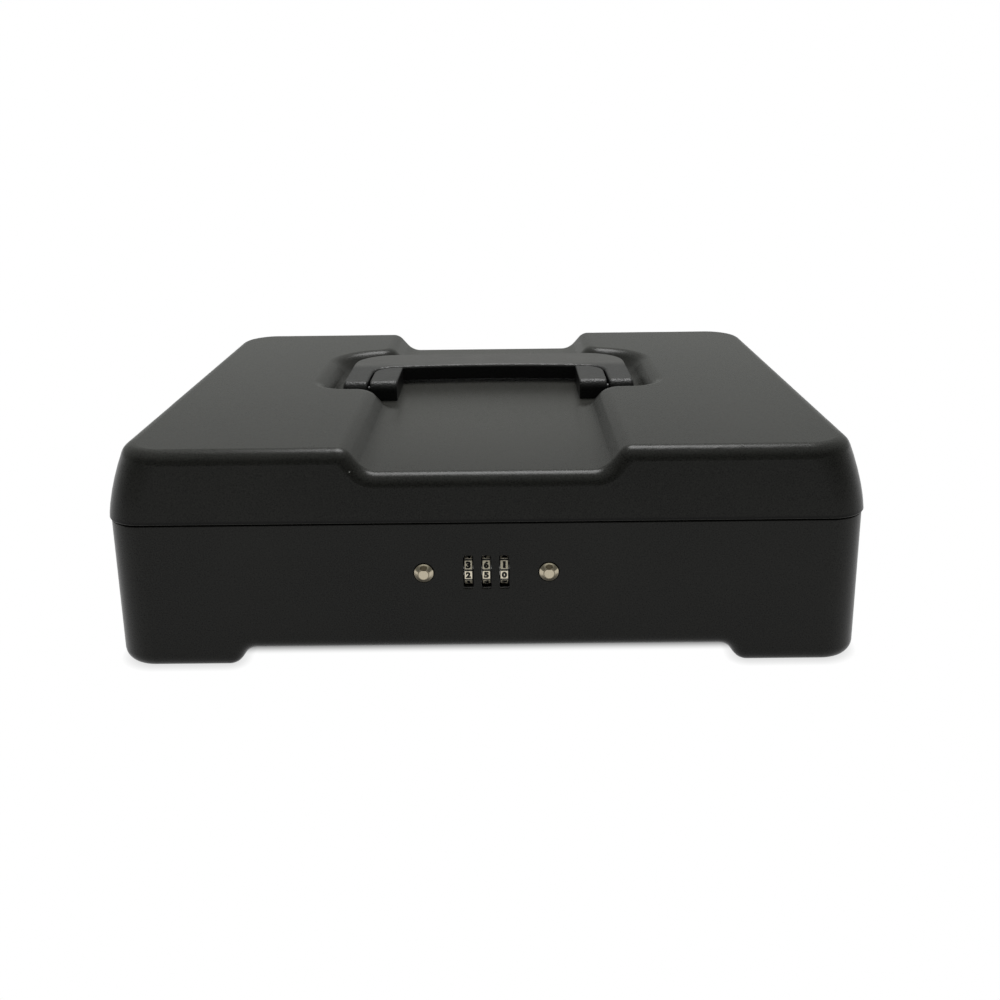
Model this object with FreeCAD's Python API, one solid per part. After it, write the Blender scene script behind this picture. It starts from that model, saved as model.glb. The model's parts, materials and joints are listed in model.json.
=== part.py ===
import FreeCAD, Part
import math
import os

Vec = FreeCAD.Vector
UP = Vec(0, 0, 1)
RIGHT = Vec(1, 0, 0)
BACK = Vec(0, 1, 0)
CENTRE = Vec(0, 0, 0)

# Whole box, in millimetres. +X is right, +Y is back, +Z is up, and the origin is under its middle.
BOX_WIDTH = 300.0
BOX_DEPTH = 240.0
BOX_HEIGHT = 90.0
CORNER_RADIUS = 16.0
SEAM_HEIGHT = 61.5

# Pressed steel lid
LID_SHEET = 1.0
LID_DRAFT = 3.0
LID_SIDE_DRAFT = 6.6
LID_SIDE_BOW = 1.7
LID_SECTIONS = 4
LID_TOP_CORNER_RADIUS = 20.0
LID_EDGE_RADIUS = 5.8
LID_LIP_RADIUS = 0.45
CHANNEL_DEPTH = 9.5
CHANNEL_WIDTH = 114.6
CHANNEL_FOOT_RADIUS = 9.5
CHANNEL_SLOPE_DEG = 50.0
RECESS_FRONT_RADIUS = 18.0
RECESS_BACK_RADIUS = 30.0
RECESS_NECK_RADIUS = 6.0
RECESS_UNDER_HANDLE = 1.2
RECESS_BACK_ROOM = 12.5

# Pressed steel base
BASE_SHEET = 1.0
BASE_INSET = 0.7
BASE_EDGE_RADIUS = 5.5
FOOT_HEIGHT = 7.3
FOOT_WIDTH = 45.0
FOOT_DEPTH = 45.0
FOOT_ROOT_RADIUS = 6.0
FOOT_SLOPE_DEG = 55.0
FOOT_NECK_RADIUS = 6.0
CREST_OVER_EDGE = 1.0
SEAM_GAP = 0.4
RIM_HEIGHT = 4.5
RIM_FIT = 0.4
RIM_OVERLAP = 2.0
SHOULDER_RADIUS = 0.6

# Carrying handle, its lugs and pivots
HANDLE_WIDTH = 141.2
HANDLE_REACH = 59.5
HANDLE_OUTER_RADIUS = 20.0
HANDLE_INNER_RADIUS = 12.0
HANDLE_EDGE_RADIUS = 1.6
HANDLE_FLOOR_GAP = 0.5
HANDLE_TOP_DROP = 0.3
ARM_WIDTH = 12.0
BAR_WIDTH = 29.0
BAR_BOW = 3.0
BAR_LIFT = 1.2
PIVOT_Y = -1.0
LUG_WIDTH = 13.3
LUG_GAP = 1.0
LUG_BACK_GAP = 2.5
LUG_TOP_DROP = 0.2
LUG_NOSE_RADIUS = 4.3
LUG_EDGE_RADIUS = 0.9
PIVOT_RADIUS = 1.5
PIVOT_IN_LUG = 9.0
PIVOT_IN_ARM = 9.0
LUG_SCREW_RADIUS = 2.0
LUG_SCREW_HEAD_RADIUS = 3.6
LUG_SCREW_HEAD = 2.2
LUG_SCREW_DEPTH = 6.0
LUG_SCREW_SETBACK = 11.0
LUG_SCREW_PITCH = 8.0

# Butt hinges at the back
HINGE_INSET = 65.0
HINGE_WIDTH = 44.0
HINGE_SHEET = 1.0
HINGE_CLEARANCE = 0.2
KNUCKLE_RADIUS = 2.0
KNUCKLE_WIDTH = 14.6
KNUCKLE_GAP = 0.3
KNUCKLE_FOOT = 1.2
HINGE_PIN_RADIUS = 1.0
LEAF_HEIGHT = 16.0
LEAF_START = 2.8
RIVET_RADIUS = 1.6
RIVET_HEAD_RADIUS = 3.0
RIVET_HEAD = 1.1
RIVET_SPACING = 26.0

# Number dials
LOCK_BELOW_SEAM = 21.0
DIAL_FACES = 10
DIAL_RADIUS = 6.85
DIAL_WIDTH = 3.2
DIAL_PITCH = 7.05
DIAL_PROUD = 0.95
DIAL_REST_TURN = 10.5
DIAL_WEB = 1.2
DIAL_HUB_RADIUS = 4.2
DIAL_NOTCH_RADIUS = 0.5
DIAL_SLOT_WIDTH = 4.0
DIAL_SLOT_HEIGHT = 14.2
DIAL_SLOT_RADIUS = 0.8
DIAL_CLEARANCE = 0.8

# Lock spindle and bar
SPINDLE_RADIUS = 1.55
FIN = 0.9
FIN_RADIUS = 3.4
FIN_WIDTH = 1.6
KEYWAY_CLEARANCE = 0.25
RUNNING_FIT = 0.05
BAR_SHEET = 1.2
BAR_EAR_X = 15.6
BAR_EAR_WIDTH = 6.0
BAR_EAR_ABOVE = 3.0
SLIDE_GAP = 0.3

# Latch noses on the bar, and the tongues on the lid that they enter
LATCH_SPACING = 73.0
LATCH_GAP = 0.85
LATCH_SETBACK = 11.3
NOSE_HEIGHT = 4.0
NOSE_WIDTH = 3.5
NOSE_STEM = 2.7
TONGUE_SHEET = 1.5
TONGUE_WIDTH = 8.0
TONGUE_BELOW_LOCK = 5.0
WINDOW_CLEARANCE = 0.7
TONGUE_TAB_WIDTH = 9.0
TONGUE_CORNER = 2.5

# Push buttons
BUTTON_SPACING = 49.0
BUTTON_RADIUS = 3.75
BUTTON_PROUD = 2.0
BUTTON_HEAD = 5.3
BUTTON_RIM_PROUD = 0.3
BUTTON_CONE_RADIUS = 2.25
BUTTON_FACE_RADIUS = 1.9
BUTTON_FACE_STEP = 0.3
BUTTON_CLEARANCE = 0.4
SHANK_RADIUS = 2.5
SHANK_LENGTH = 10.5
BUTTON_PIN_RADIUS = 1.2
BUTTON_PIN_GAP = 1.1

# Lock case
CASE_WALL = 1.5
CASE_FRONT = 1.2
CASE_TOP_ROOM = 2.65
CASE_SIDE_GAP = 1.0
CASE_BACK_GAP = 2.8
CASE_EAR_WIDTH = 13.5
CASE_EAR_HEIGHT = 12.0
COVER_SHEET = 1.2
END_WALL = 2.0
DIVIDER_GAP = 0.325
RIB_REACH = 4.6
GUIDE = 2.0
GUIDE_WALL = 0.7
GUIDE_CLEARANCE = 0.5
TONGUE_SLOT_SIDE = 1.0
TONGUE_SLOT_FRONT = 2.5
TONGUE_SLOT_BACK = 1.5
POST_RADIUS = 2.4
POST_INSET = 3.0
POST_DROP = 2.7
COVER_SCREW_RADIUS = 1.1
COVER_SCREW_DEPTH = 8.0
COVER_SCREW_HEAD_RADIUS = 2.2
COVER_SCREW_HEAD = 1.5
STUD_RADIUS = 2.0
STUD_LENGTH = 8.0
STUD_CLEARANCE = 0.2
NUT_FLATS = 7.0
NUT_HEIGHT = 3.2

# Springs in the lock
DETENT_SHEET = 0.4
DETENT_CLEARANCE = 0.3
DETENT_FINGER = 2.4
DETENT_STRIP = 4.6
DETENT_DROP = 2.0
SPRING_RADIUS = 1.7
SPRING_WIRE = 0.5
SPRING_TURNS = 7
SPRING_LENGTH = 17.8
SPRING_START_X = -11.8
SPRING_TAB = 1.2
SPRING_TAB_HEIGHT = 5.6
SPRING_LUG = 1.5

# Coin tray and its rests
TRAY_SIDE_ROOM = 12.3
TRAY_FRONT_ROOM = 7.0
TRAY_BACK_ROOM = 10.3
TRAY_BELOW_SEAM = 1.5
TRAY_HEIGHT = 24.0
TRAY_WALL = 1.8
TRAY_FLOOR = 1.6
TRAY_FLANGE = 5.0
TRAY_FLANGE_SHEET = 1.5
TRAY_CORNER_RADIUS = 8.0
CUP_COUNT = 4
CUP_DEPTH = 78.0
CUP_RADIUS = 5.0
BAY_COUNT = 2
REST_SHEET = 1.0
REST_HEIGHT = 12.0
REST_REACH = 3.0
REST_LENGTH = 150.0

# Places that follow from the sizes above
HALF_WIDTH = BOX_WIDTH / 2
HALF_DEPTH = BOX_DEPTH / 2
LID_FLOOR = BOX_HEIGHT - CHANNEL_DEPTH
LID_LEAN = LID_DRAFT / (BOX_HEIGHT - SEAM_HEIGHT)
LID_CORNER_LEAN = (LID_TOP_CORNER_RADIUS - CORNER_RADIUS) / (BOX_HEIGHT - SEAM_HEIGHT)
LID_LEAN_DEG = math.degrees(math.atan(LID_LEAN))
LID_WALL = LID_SHEET * math.cos(math.atan(LID_LEAN))
LID_CREST_RADIUS = LID_EDGE_RADIUS + CREST_OVER_EDGE
FOOT_CREST_RADIUS = BASE_EDGE_RADIUS + CREST_OVER_EDGE
BASE_HALF_WIDTH = HALF_WIDTH - BASE_INSET
BASE_HALF_DEPTH = HALF_DEPTH - BASE_INSET
BASE_CORNER = CORNER_RADIUS - BASE_INSET
SHOULDER = SEAM_HEIGHT - SEAM_GAP
RIM_INSET = LID_SHEET + RIM_FIT + LID_LEAN * RIM_HEIGHT
RIM_TOP = SEAM_HEIGHT + RIM_HEIGHT
FRONT = -BASE_HALF_DEPTH
FRONT_INSIDE = FRONT + BASE_SHEET
LOCK_Z = SEAM_HEIGHT - LOCK_BELOW_SEAM
DIAL_Y = FRONT + DIAL_RADIUS - DIAL_PROUD
STROKE = 2 * LATCH_GAP + TONGUE_SHEET
FIN_GAP = (STROKE - DIAL_WEB - FIN) / 2
PLATE_TOP = LOCK_Z - DIAL_RADIUS - DIAL_CLEARANCE
PLATE_LOW = PLATE_TOP - BAR_SHEET
CASE_LOW = PLATE_LOW - SLIDE_GAP
CASE_HIGH = LOCK_Z + DIAL_RADIUS + CASE_TOP_ROOM
CASE_FRONT_INSIDE = FRONT_INSIDE + CASE_FRONT
LATCH_X = LATCH_SPACING / 2
LATCH_Y = FRONT_INSIDE + LATCH_SETBACK
NOSE_REST = TONGUE_SHEET / 2 + LATCH_GAP
NOSE_LENGTH = STROKE + NOSE_STEM
CASE_HALF = LATCH_X + NOSE_REST + NOSE_LENGTH + CASE_SIDE_GAP
HEAD_FRONT = FRONT - BUTTON_PROUD
HEAD_BACK = HEAD_FRONT + BUTTON_HEAD
SHANK_BACK = HEAD_BACK + SHANK_LENGTH
GUIDE_FRONT = HEAD_BACK + STROKE + GUIDE_CLEARANCE
BUTTON_PIN_Y = GUIDE_FRONT + GUIDE + BUTTON_PIN_RADIUS + BUTTON_PIN_GAP
BUTTON_X = BUTTON_SPACING / 2
COVER_FRONT = SHANK_BACK + STROKE + CASE_BACK_GAP
COVER_BACK = COVER_FRONT + COVER_SHEET
STUD_X = CASE_HALF + CASE_WALL + CASE_EAR_WIDTH / 2
POST_X = CASE_HALF - POST_INSET
POST_Z = CASE_HIGH - POST_DROP
DETENT_Y = DIAL_Y + DIAL_RADIUS + DETENT_CLEARANCE
SPRING_Y = COVER_FRONT - CASE_WALL - SPRING_RADIUS - SPRING_WIRE / 2
SPRING_Z = PLATE_TOP + SPRING_TAB_HEIGHT / 2
HINGE_Y = HALF_DEPTH + KNUCKLE_RADIUS + HINGE_CLEARANCE
HINGE_Z = SEAM_HEIGHT
PIVOT_Z = (LID_FLOOR + HANDLE_FLOOR_GAP + BOX_HEIGHT - HANDLE_TOP_DROP) / 2
HANDLE_LOW = LID_FLOOR + HANDLE_FLOOR_GAP
HANDLE_TOP = BOX_HEIGHT - HANDLE_TOP_DROP
HANDLE_HALF = HANDLE_WIDTH / 2
HANDLE_BACK = PIVOT_Y + HANDLE_REACH
ARM_NOSE_RADIUS = HANDLE_TOP - PIVOT_Z
HANDLE_FRONT = PIVOT_Y - ARM_NOSE_RADIUS
ARM_INNER = HANDLE_HALF - ARM_WIDTH
BAR_FRONT = HANDLE_BACK - BAR_WIDTH
LUG_OUTER = ARM_INNER - LUG_GAP
LUG_INNER = LUG_OUTER - LUG_WIDTH
LUG_X = (LUG_OUTER + LUG_INNER) / 2
LUG_BACK = BAR_FRONT - LUG_BACK_GAP
TRAY_TOP = SEAM_HEIGHT - TRAY_BELOW_SEAM
TRAY_LOW = TRAY_TOP - TRAY_HEIGHT
TRAY_HALF = BASE_HALF_WIDTH - BASE_SHEET - TRAY_SIDE_ROOM
TRAY_FRONT = COVER_BACK + COVER_SCREW_HEAD + TRAY_FRONT_ROOM
TRAY_BACK = BASE_HALF_DEPTH - BASE_SHEET - TRAY_BACK_ROOM
REST_TOP = TRAY_TOP - TRAY_FLANGE_SHEET

# Room that a cutting or filling shape reaches past the piece it trims
PAST = 40.0
SMALL = 1e-3


def box(x, y, z):
    """A block between two values on each axis."""
    return Part.makeBox(x[1] - x[0], y[1] - y[0], z[1] - z[0], Vec(x[0], y[0], z[0]))


def rod_x(radius, x, y, z):
    return Part.makeCylinder(radius, x[1] - x[0], Vec(x[0], y, z), RIGHT)


def rod_y(radius, x, y, z):
    return Part.makeCylinder(radius, y[1] - y[0], Vec(x, y[0], z), BACK)


def rod_z(radius, x, y, z):
    return Part.makeCylinder(radius, z[1] - z[0], Vec(x, y, z[0]), UP)


def both(shape):
    """A shape and its mirror image on the other side of the box."""
    return [shape, mirrored(shape)]


def mirrored(shape):
    return shape.mirror(CENTRE, RIGHT)


def line(start, end):
    return Part.LineSegment(start, end).toShape()


def polar(centre, radius, degrees):
    angle = math.radians(degrees)
    return centre + Vec(radius * math.cos(angle), radius * math.sin(angle), 0)


def arc(centre, radius, start, end):
    middle = (start + end) / 2
    points = [polar(centre, radius, a) for a in (start, middle, end)]
    return Part.Arc(*points).toShape()


def prism_x(points, x):
    """A flat outline of (y, z) points, drawn out along X."""
    corners = [Vec(x[0], y, z) for y, z in points]
    face = Part.Face(Part.makePolygon(corners + corners[:1]))
    return face.extrude(Vec(x[1] - x[0], 0, 0))


def upright_edges(shape):
    return [e for e in shape.Edges if abs(e.tangentAt(e.FirstParameter).z) > 1 - SMALL]


def rounded_block(half_x, half_y, radius, low, high):
    block = box((-half_x, half_x), (-half_y, half_y), (low, high))
    return block.makeFillet(radius, upright_edges(block))


def rounded_outline(half_x, half_y, radius, height):
    """A level rectangle with rounded corners."""
    arcs = []
    for turn, x, y in ((0, 1, 1), (90, -1, 1), (180, -1, -1), (270, 1, -1)):
        middle = Vec(x * (half_x - radius), y * (half_y - radius), height)
        arcs.append([polar(middle, radius, turn + share) for share in (0, 45, 90)])
    edges = []
    for arc, following in zip(arcs, arcs[1:] + arcs[:1]):
        edges.append(Part.Arc(*arc).toShape())
        edges.append(Part.makeLine(arc[2], following[0]))
    return Part.Wire(edges)


def side_inset(up):
    """How far the lid's bowed side walls have come in at a height above the seam."""
    return LID_SIDE_DRAFT * (max(up, 0) / (BOX_HEIGHT - SEAM_HEIGHT)) ** LID_SIDE_BOW


def leaning_block(half_x, half_y, radius, low):
    """A rounded block whose walls come in as the lid's do, from below the seam to above the top."""
    step = (BOX_HEIGHT - SEAM_HEIGHT) / LID_SECTIONS
    heights = [low] + [SEAM_HEIGHT + step * k for k in range(low == SEAM_HEIGHT, LID_SECTIONS + 2)]
    outlines = []
    for height in heights:
        up = height - SEAM_HEIGHT
        outlines.append(rounded_outline(
            half_x - side_inset(up), half_y - up * LID_LEAN, radius + up * LID_CORNER_LEAN, height
        ))
    return Part.makeLoft(outlines, True)


def lean_back(shape):
    """A piece made upright on the back wall, turned to lie against the lid's leaning wall."""
    leaned = shape.copy()
    leaned.rotate(Vec(0, HALF_DEPTH, SEAM_HEIGHT), RIGHT, LID_LEAN_DEG)
    return leaned


def single(shape):
    """The one solid of a shape, with its split faces joined."""
    return shape.removeSplitter().Solids[0]


def slope_run(drop, crest, foot, slope_deg):
    """How far a slope with a rounded crest and foot reaches sideways."""
    angle = math.radians(slope_deg)
    straight = (drop - (crest + foot) * (1 - math.cos(angle))) / math.sin(angle)
    return (crest + foot) * math.sin(angle) + straight * math.cos(angle)


def slope_section(floor, drop, crest, foot, slope_deg, root, run):
    """The slope's cross-section: X runs from its crest towards the low side."""
    angle = math.radians(slope_deg)
    top = floor + drop
    low = floor - root
    crest_centre = Vec(0, 0, top - crest)
    foot_centre = Vec(run, 0, floor + foot)

    def crest_at(a):
        return crest_centre + Vec(crest * math.sin(a), 0, crest * math.cos(a))

    def foot_at(a):
        return foot_centre - Vec(foot * math.sin(a), 0, foot * math.cos(a))

    inside = -root / 2
    edges = [
        line(Vec(inside, 0, top), crest_at(0)),
        Part.Arc(crest_at(0), crest_at(angle / 2), crest_at(angle)).toShape(),
        line(crest_at(angle), foot_at(angle)),
        Part.Arc(foot_at(angle), foot_at(angle / 2), foot_at(0)).toShape(),
        line(foot_at(0), Vec(run, 0, low)),
        line(Vec(run, 0, low), Vec(inside, 0, low)),
        line(Vec(inside, 0, low), Vec(inside, 0, top)),
    ]
    return Part.Face(Part.Wire(edges))


def slope_along(section, start, end):
    """The slope beside a straight stretch of its crest, low side on the right."""
    travel = end - start
    face = section.copy()
    face.rotate(CENTRE, UP, math.degrees(math.atan2(travel.y, travel.x)) - 90)
    face.translate(start)
    return face.extrude(travel)


def slope_around(section, centre, radius, start, end):
    """The slope around a turn of its crest, low side on the right."""
    face = section.copy()
    if end < start:
        face.rotate(CENTRE, UP, 180)
    face.translate(Vec(radius, 0, 0))
    face.rotate(CENTRE, UP, start)
    face.translate(centre)
    return face.revolve(centre, UP, end - start)


def terrace(route, corners, section, low, high):
    """A raised area inside a route of stretches and turns, with its slope along the route."""
    slopes = []
    edges = []
    for kind, *values in route:
        if kind == "stretch":
            slopes.append(slope_along(section, *values))
            edges.append(line(*values))
        else:
            slopes.append(slope_around(section, *values))
            edges.append(arc(*values))
    loop = [edges[-1].lastVertex().Point] + corners + [edges[0].firstVertex().Point]
    edges += [line(a, b) for a, b in zip(loop, loop[1:])]
    face = Part.Face(Part.Wire(edges))
    face.translate(Vec(0, 0, low))
    core = face.extrude(Vec(0, 0, high - low))
    return core.multiFuse(slopes).removeSplitter()


def rim_edges(shape, block, low):
    """The edges above a height that run round the outside of a block."""
    walls = [f for f in block.Faces if f.BoundBox.ZLength > PAST / 2]

    def outside(edge):
        points = [Part.Vertex(p) for p in edge.discretize(5)]
        return all(min(w.distToShape(p)[0] for w in walls) < SMALL for p in points)

    return [e for e in shape.Edges if e.BoundBox.ZMin > low - SMALL and outside(e)]


def stepped_form(block, floor, terraces, edge_radius):
    """A rounded block whose top has terraces, with one radius along its outer top edge."""
    reach = block.BoundBox
    x = (reach.XMin - PAST, reach.XMax + PAST)
    y = (reach.YMin - PAST, reach.YMax + PAST)
    ground = box(x, y, (reach.ZMin, floor)).multiFuse(terraces).removeSplitter()
    form = single(ground.common(block))
    return form.makeFillet(edge_radius, rim_edges(form, block, floor)).Solids[0]


def lid_land(offset):
    """The left raised half of the lid's top, with the handle recess cut into its side."""
    crest = LID_CREST_RADIUS - offset
    foot = CHANNEL_FOOT_RADIUS + offset
    floor = LID_FLOOR - offset
    run = slope_run(CHANNEL_DEPTH, LID_CREST_RADIUS, CHANNEL_FOOT_RADIUS, CHANNEL_SLOPE_DEG)
    section = slope_section(floor, CHANNEL_DEPTH, crest, foot, CHANNEL_SLOPE_DEG, CHANNEL_DEPTH / 3, run)
    channel = -CHANNEL_WIDTH / 2
    side = -(HANDLE_HALF - RECESS_UNDER_HANDLE + run)
    front = HANDLE_FRONT + RECESS_UNDER_HANDLE - run
    back = HANDLE_BACK + RECESS_BACK_ROOM
    neck = RECESS_NECK_RADIUS
    front_neck = Vec(channel - neck, front - neck, 0)
    front_turn = Vec(side + RECESS_FRONT_RADIUS, front + RECESS_FRONT_RADIUS, 0)
    back_turn = Vec(side + RECESS_BACK_RADIUS, back - RECESS_BACK_RADIUS, 0)
    reach = RECESS_BACK_RADIUS + neck
    neck_y = back_turn.y + math.sqrt(reach ** 2 - (channel - neck - back_turn.x) ** 2)
    back_neck = Vec(channel - neck, neck_y, 0)
    leave = math.degrees(math.atan2(neck_y - back_turn.y, back_neck.x - back_turn.x))
    near = -HALF_DEPTH - PAST
    far = HALF_DEPTH + PAST
    left = -HALF_WIDTH - PAST
    route = [
        ("stretch", Vec(channel, near, 0), Vec(channel, front - neck, 0)),
        ("turn", front_neck, neck, 0, 90),
        ("stretch", Vec(channel - neck, front, 0), Vec(front_turn.x, front, 0)),
        ("turn", front_turn, RECESS_FRONT_RADIUS, 270, 180),
        ("stretch", Vec(side, front_turn.y, 0), Vec(side, back_turn.y, 0)),
        ("turn", back_turn, RECESS_BACK_RADIUS, 180, leave),
        ("turn", back_neck, neck, leave - 180, 0),
        ("stretch", Vec(channel, neck_y, 0), Vec(channel, far, 0)),
    ]
    corners = [Vec(left, far, 0), Vec(left, near, 0)]
    return terrace(route, corners, section, floor - CHANNEL_DEPTH / 3, floor + CHANNEL_DEPTH)


def lid_form(offset, low):
    block = leaning_block(
        HALF_WIDTH - offset, HALF_DEPTH - offset, CORNER_RADIUS - offset, low
    )
    return stepped_form(block, LID_FLOOR - offset, both(lid_land(offset)), LID_EDGE_RADIUS - offset)


def base_foot(offset):
    """One corner foot, upside down, at the left front."""
    crest = FOOT_CREST_RADIUS - offset
    foot = FOOT_ROOT_RADIUS + offset
    floor = -FOOT_HEIGHT - offset
    run = slope_run(FOOT_HEIGHT, FOOT_CREST_RADIUS, FOOT_ROOT_RADIUS, FOOT_SLOPE_DEG)
    section = slope_section(floor, FOOT_HEIGHT, crest, foot, FOOT_SLOPE_DEG, FOOT_HEIGHT / 3, run)
    side = -BASE_HALF_WIDTH + FOOT_WIDTH
    front = -BASE_HALF_DEPTH + FOOT_DEPTH
    neck = FOOT_NECK_RADIUS
    near = -BASE_HALF_DEPTH - PAST
    left = -BASE_HALF_WIDTH - PAST
    route = [
        ("stretch", Vec(side, near, 0), Vec(side, front - neck, 0)),
        ("turn", Vec(side - neck, front - neck, 0), neck, 0, 90),
        ("stretch", Vec(side - neck, front, 0), Vec(left, front, 0)),
    ]
    return terrace(route, [Vec(left, near, 0)], section, floor - FOOT_HEIGHT / 3, floor + FOOT_HEIGHT)


def base_form(offset, high):
    """The base's outside, or with an offset the space inside it, up to a height."""
    foot = base_foot(offset)
    front_feet = both(foot)
    feet = front_feet + [f.mirror(CENTRE, BACK) for f in front_feet]
    block = rounded_block(
        BASE_HALF_WIDTH - offset, BASE_HALF_DEPTH - offset, BASE_CORNER - offset, -high, PAST
    )
    form = stepped_form(block, -FOOT_HEIGHT - offset, feet, BASE_EDGE_RADIUS - offset)
    form.rotate(CENTRE, RIGHT, 180)
    return form


def dial_centres():
    return [DIAL_PITCH * k for k in (-1, 0, 1)]


def dial_slots(y):
    """Cutters for the dial slots, with rounded ends."""
    cutters = []
    half = DIAL_SLOT_WIDTH / 2
    for x in dial_centres():
        slot = box((x - half, x + half), y, (LOCK_Z - DIAL_SLOT_HEIGHT / 2, LOCK_Z + DIAL_SLOT_HEIGHT / 2))
        along = [e for e in slot.Edges if abs(e.tangentAt(e.FirstParameter).y) > 1 - SMALL]
        cutters.append(slot.makeFillet(DIAL_SLOT_RADIUS, along))
    return cutters


def button_holes(y):
    radius = BUTTON_RADIUS + BUTTON_CLEARANCE
    return both(rod_y(radius, BUTTON_X, y, LOCK_Z))


def hinge_centres():
    return [HINGE_INSET - HALF_WIDTH, HALF_WIDTH - HINGE_INSET]


def rivet_places(z):
    return [(x + side * RIVET_SPACING / 2, z) for x in hinge_centres() for side in (-1, 1)]


BASE_RIVET_Z = HINGE_Z - LEAF_START - LEAF_HEIGHT / 2
LID_RIVET_Z = HINGE_Z + LEAF_START + LEAF_HEIGHT / 2


def base_pan():
    rim_x = HALF_WIDTH - RIM_INSET
    rim_y = HALF_DEPTH - RIM_INSET
    rim_corner = CORNER_RADIUS - RIM_INSET
    step = SHOULDER - RIM_OVERLAP
    outside = base_form(0, SHOULDER)
    outside = outside.makeFillet(
        SHOULDER_RADIUS, [e for e in outside.Edges if e.BoundBox.ZMin > SHOULDER - SMALL]
    )
    rim = rounded_block(rim_x, rim_y, rim_corner, step, RIM_TOP)
    hollow = base_form(BASE_SHEET, step)
    mouth = rounded_block(
        rim_x - BASE_SHEET, rim_y - BASE_SHEET, rim_corner - BASE_SHEET, step - SMALL, RIM_TOP + PAST
    )
    wall = (FRONT - PAST, FRONT + BASE_EDGE_RADIUS)
    cutters = [hollow, mouth] + dial_slots(wall) + button_holes(wall)
    back = (BASE_HALF_DEPTH - BASE_EDGE_RADIUS, BASE_HALF_DEPTH + PAST)
    cutters += [rod_y(RIVET_RADIUS, x, back, z) for x, z in rivet_places(BASE_RIVET_Z)]
    return single(outside.fuse(rim).cut(cutters))


def lug_screw_places():
    first = PIVOT_Y + LUG_SCREW_SETBACK
    return [(LUG_X, first), (LUG_X, first + LUG_SCREW_PITCH)]


def lid_shell():
    form = lid_form(0, SEAM_HEIGHT)
    form = form.makeFillet(LID_LIP_RADIUS, [e for e in form.Edges if e.BoundBox.ZMax < SEAM_HEIGHT + SMALL])
    shell = form.cut(lid_form(LID_SHEET, SEAM_HEIGHT - LID_EDGE_RADIUS))
    back = (HALF_DEPTH - LID_EDGE_RADIUS, HALF_DEPTH + PAST)
    cutters = [lean_back(rod_y(RIVET_RADIUS, x, back, z)) for x, z in rivet_places(LID_RIVET_Z)]
    for x, y in lug_screw_places():
        cutters += both(rod_z(LUG_SCREW_RADIUS, x, y, (LID_FLOOR - PAST, LID_FLOOR + CHANNEL_DEPTH)))
    return single(shell.cut(cutters))


def handle_outline():
    """The handle's plan: two arms, rounded corners and a slightly bowed front edge of the bar."""
    outer = HANDLE_OUTER_RADIUS
    inner = HANDLE_INNER_RADIUS
    front = PIVOT_Y
    corner_x = ARM_INNER - inner
    bow = (corner_x ** 2 + BAR_BOW ** 2) / (2 * BAR_BOW)
    bow_centre = Vec(0, BAR_FRONT + BAR_BOW - bow, 0)
    corner_y = bow_centre.y + math.sqrt((bow - inner) ** 2 - corner_x ** 2)
    meet = math.degrees(math.atan2(corner_y - bow_centre.y, corner_x))
    outer_y = HANDLE_BACK - outer
    edges = [
        line(Vec(ARM_INNER, front, 0), Vec(HANDLE_HALF, front, 0)),
        line(Vec(HANDLE_HALF, front, 0), Vec(HANDLE_HALF, outer_y, 0)),
        arc(Vec(HANDLE_HALF - outer, outer_y, 0), outer, 0, 90),
        line(Vec(HANDLE_HALF - outer, HANDLE_BACK, 0), Vec(outer - HANDLE_HALF, HANDLE_BACK, 0)),
        arc(Vec(outer - HANDLE_HALF, outer_y, 0), outer, 90, 180),
        line(Vec(-HANDLE_HALF, outer_y, 0), Vec(-HANDLE_HALF, front, 0)),
        line(Vec(-HANDLE_HALF, front, 0), Vec(-ARM_INNER, front, 0)),
        line(Vec(-ARM_INNER, front, 0), Vec(-ARM_INNER, corner_y, 0)),
        arc(Vec(-corner_x, corner_y, 0), inner, 180, 180 - meet),
        arc(bow_centre, bow, 180 - meet, meet),
        arc(Vec(corner_x, corner_y, 0), inner, meet, 0),
        line(Vec(ARM_INNER, corner_y, 0), Vec(ARM_INNER, front, 0)),
    ]
    return Part.Face(Part.Wire(edges))


def handle():
    """The bail, with arms that end in a round nose about the pivot."""
    face = handle_outline()
    face.translate(Vec(0, 0, HANDLE_LOW))
    body = face.extrude(Vec(0, 0, HANDLE_TOP - HANDLE_LOW))
    top = [e for e in body.Edges if e.BoundBox.ZMin > HANDLE_TOP - SMALL and e.BoundBox.YMax > PIVOT_Y + SMALL]
    body = body.makeFillet(HANDLE_EDGE_RADIUS, top)
    nose = rod_x(ARM_NOSE_RADIUS, (ARM_INNER, HANDLE_HALF), PIVOT_Y, PIVOT_Z)
    ends = [e for e in nose.Edges if e.BoundBox.XLength < SMALL]
    body = body.multiFuse(both(nose.makeFillet(HANDLE_EDGE_RADIUS, ends)))
    lift = box(
        (HANDLE_OUTER_RADIUS - HANDLE_HALF, HANDLE_HALF - HANDLE_OUTER_RADIUS),
        (BAR_FRONT - PAST, HANDLE_BACK + PAST),
        (LID_FLOOR, HANDLE_LOW + BAR_LIFT),
    )
    hole = rod_x(
        PIVOT_RADIUS + RUNNING_FIT, (ARM_INNER - LUG_GAP, ARM_INNER + PIVOT_IN_ARM + LUG_GAP), PIVOT_Y, PIVOT_Z
    )
    return single(body.cut([lift] + both(hole)))


def lug_outline(reach, top):
    """Whether an edge of a lug runs along its top or round the sides of its nose."""
    on_top = reach.ZMin > top - SMALL and (reach.XLength < SMALL or reach.YMax > LUG_BACK - SMALL)
    on_nose = reach.XLength < SMALL and reach.ZLength > SMALL and reach.YMin < HANDLE_FRONT + SMALL
    return on_top or on_nose


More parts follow.
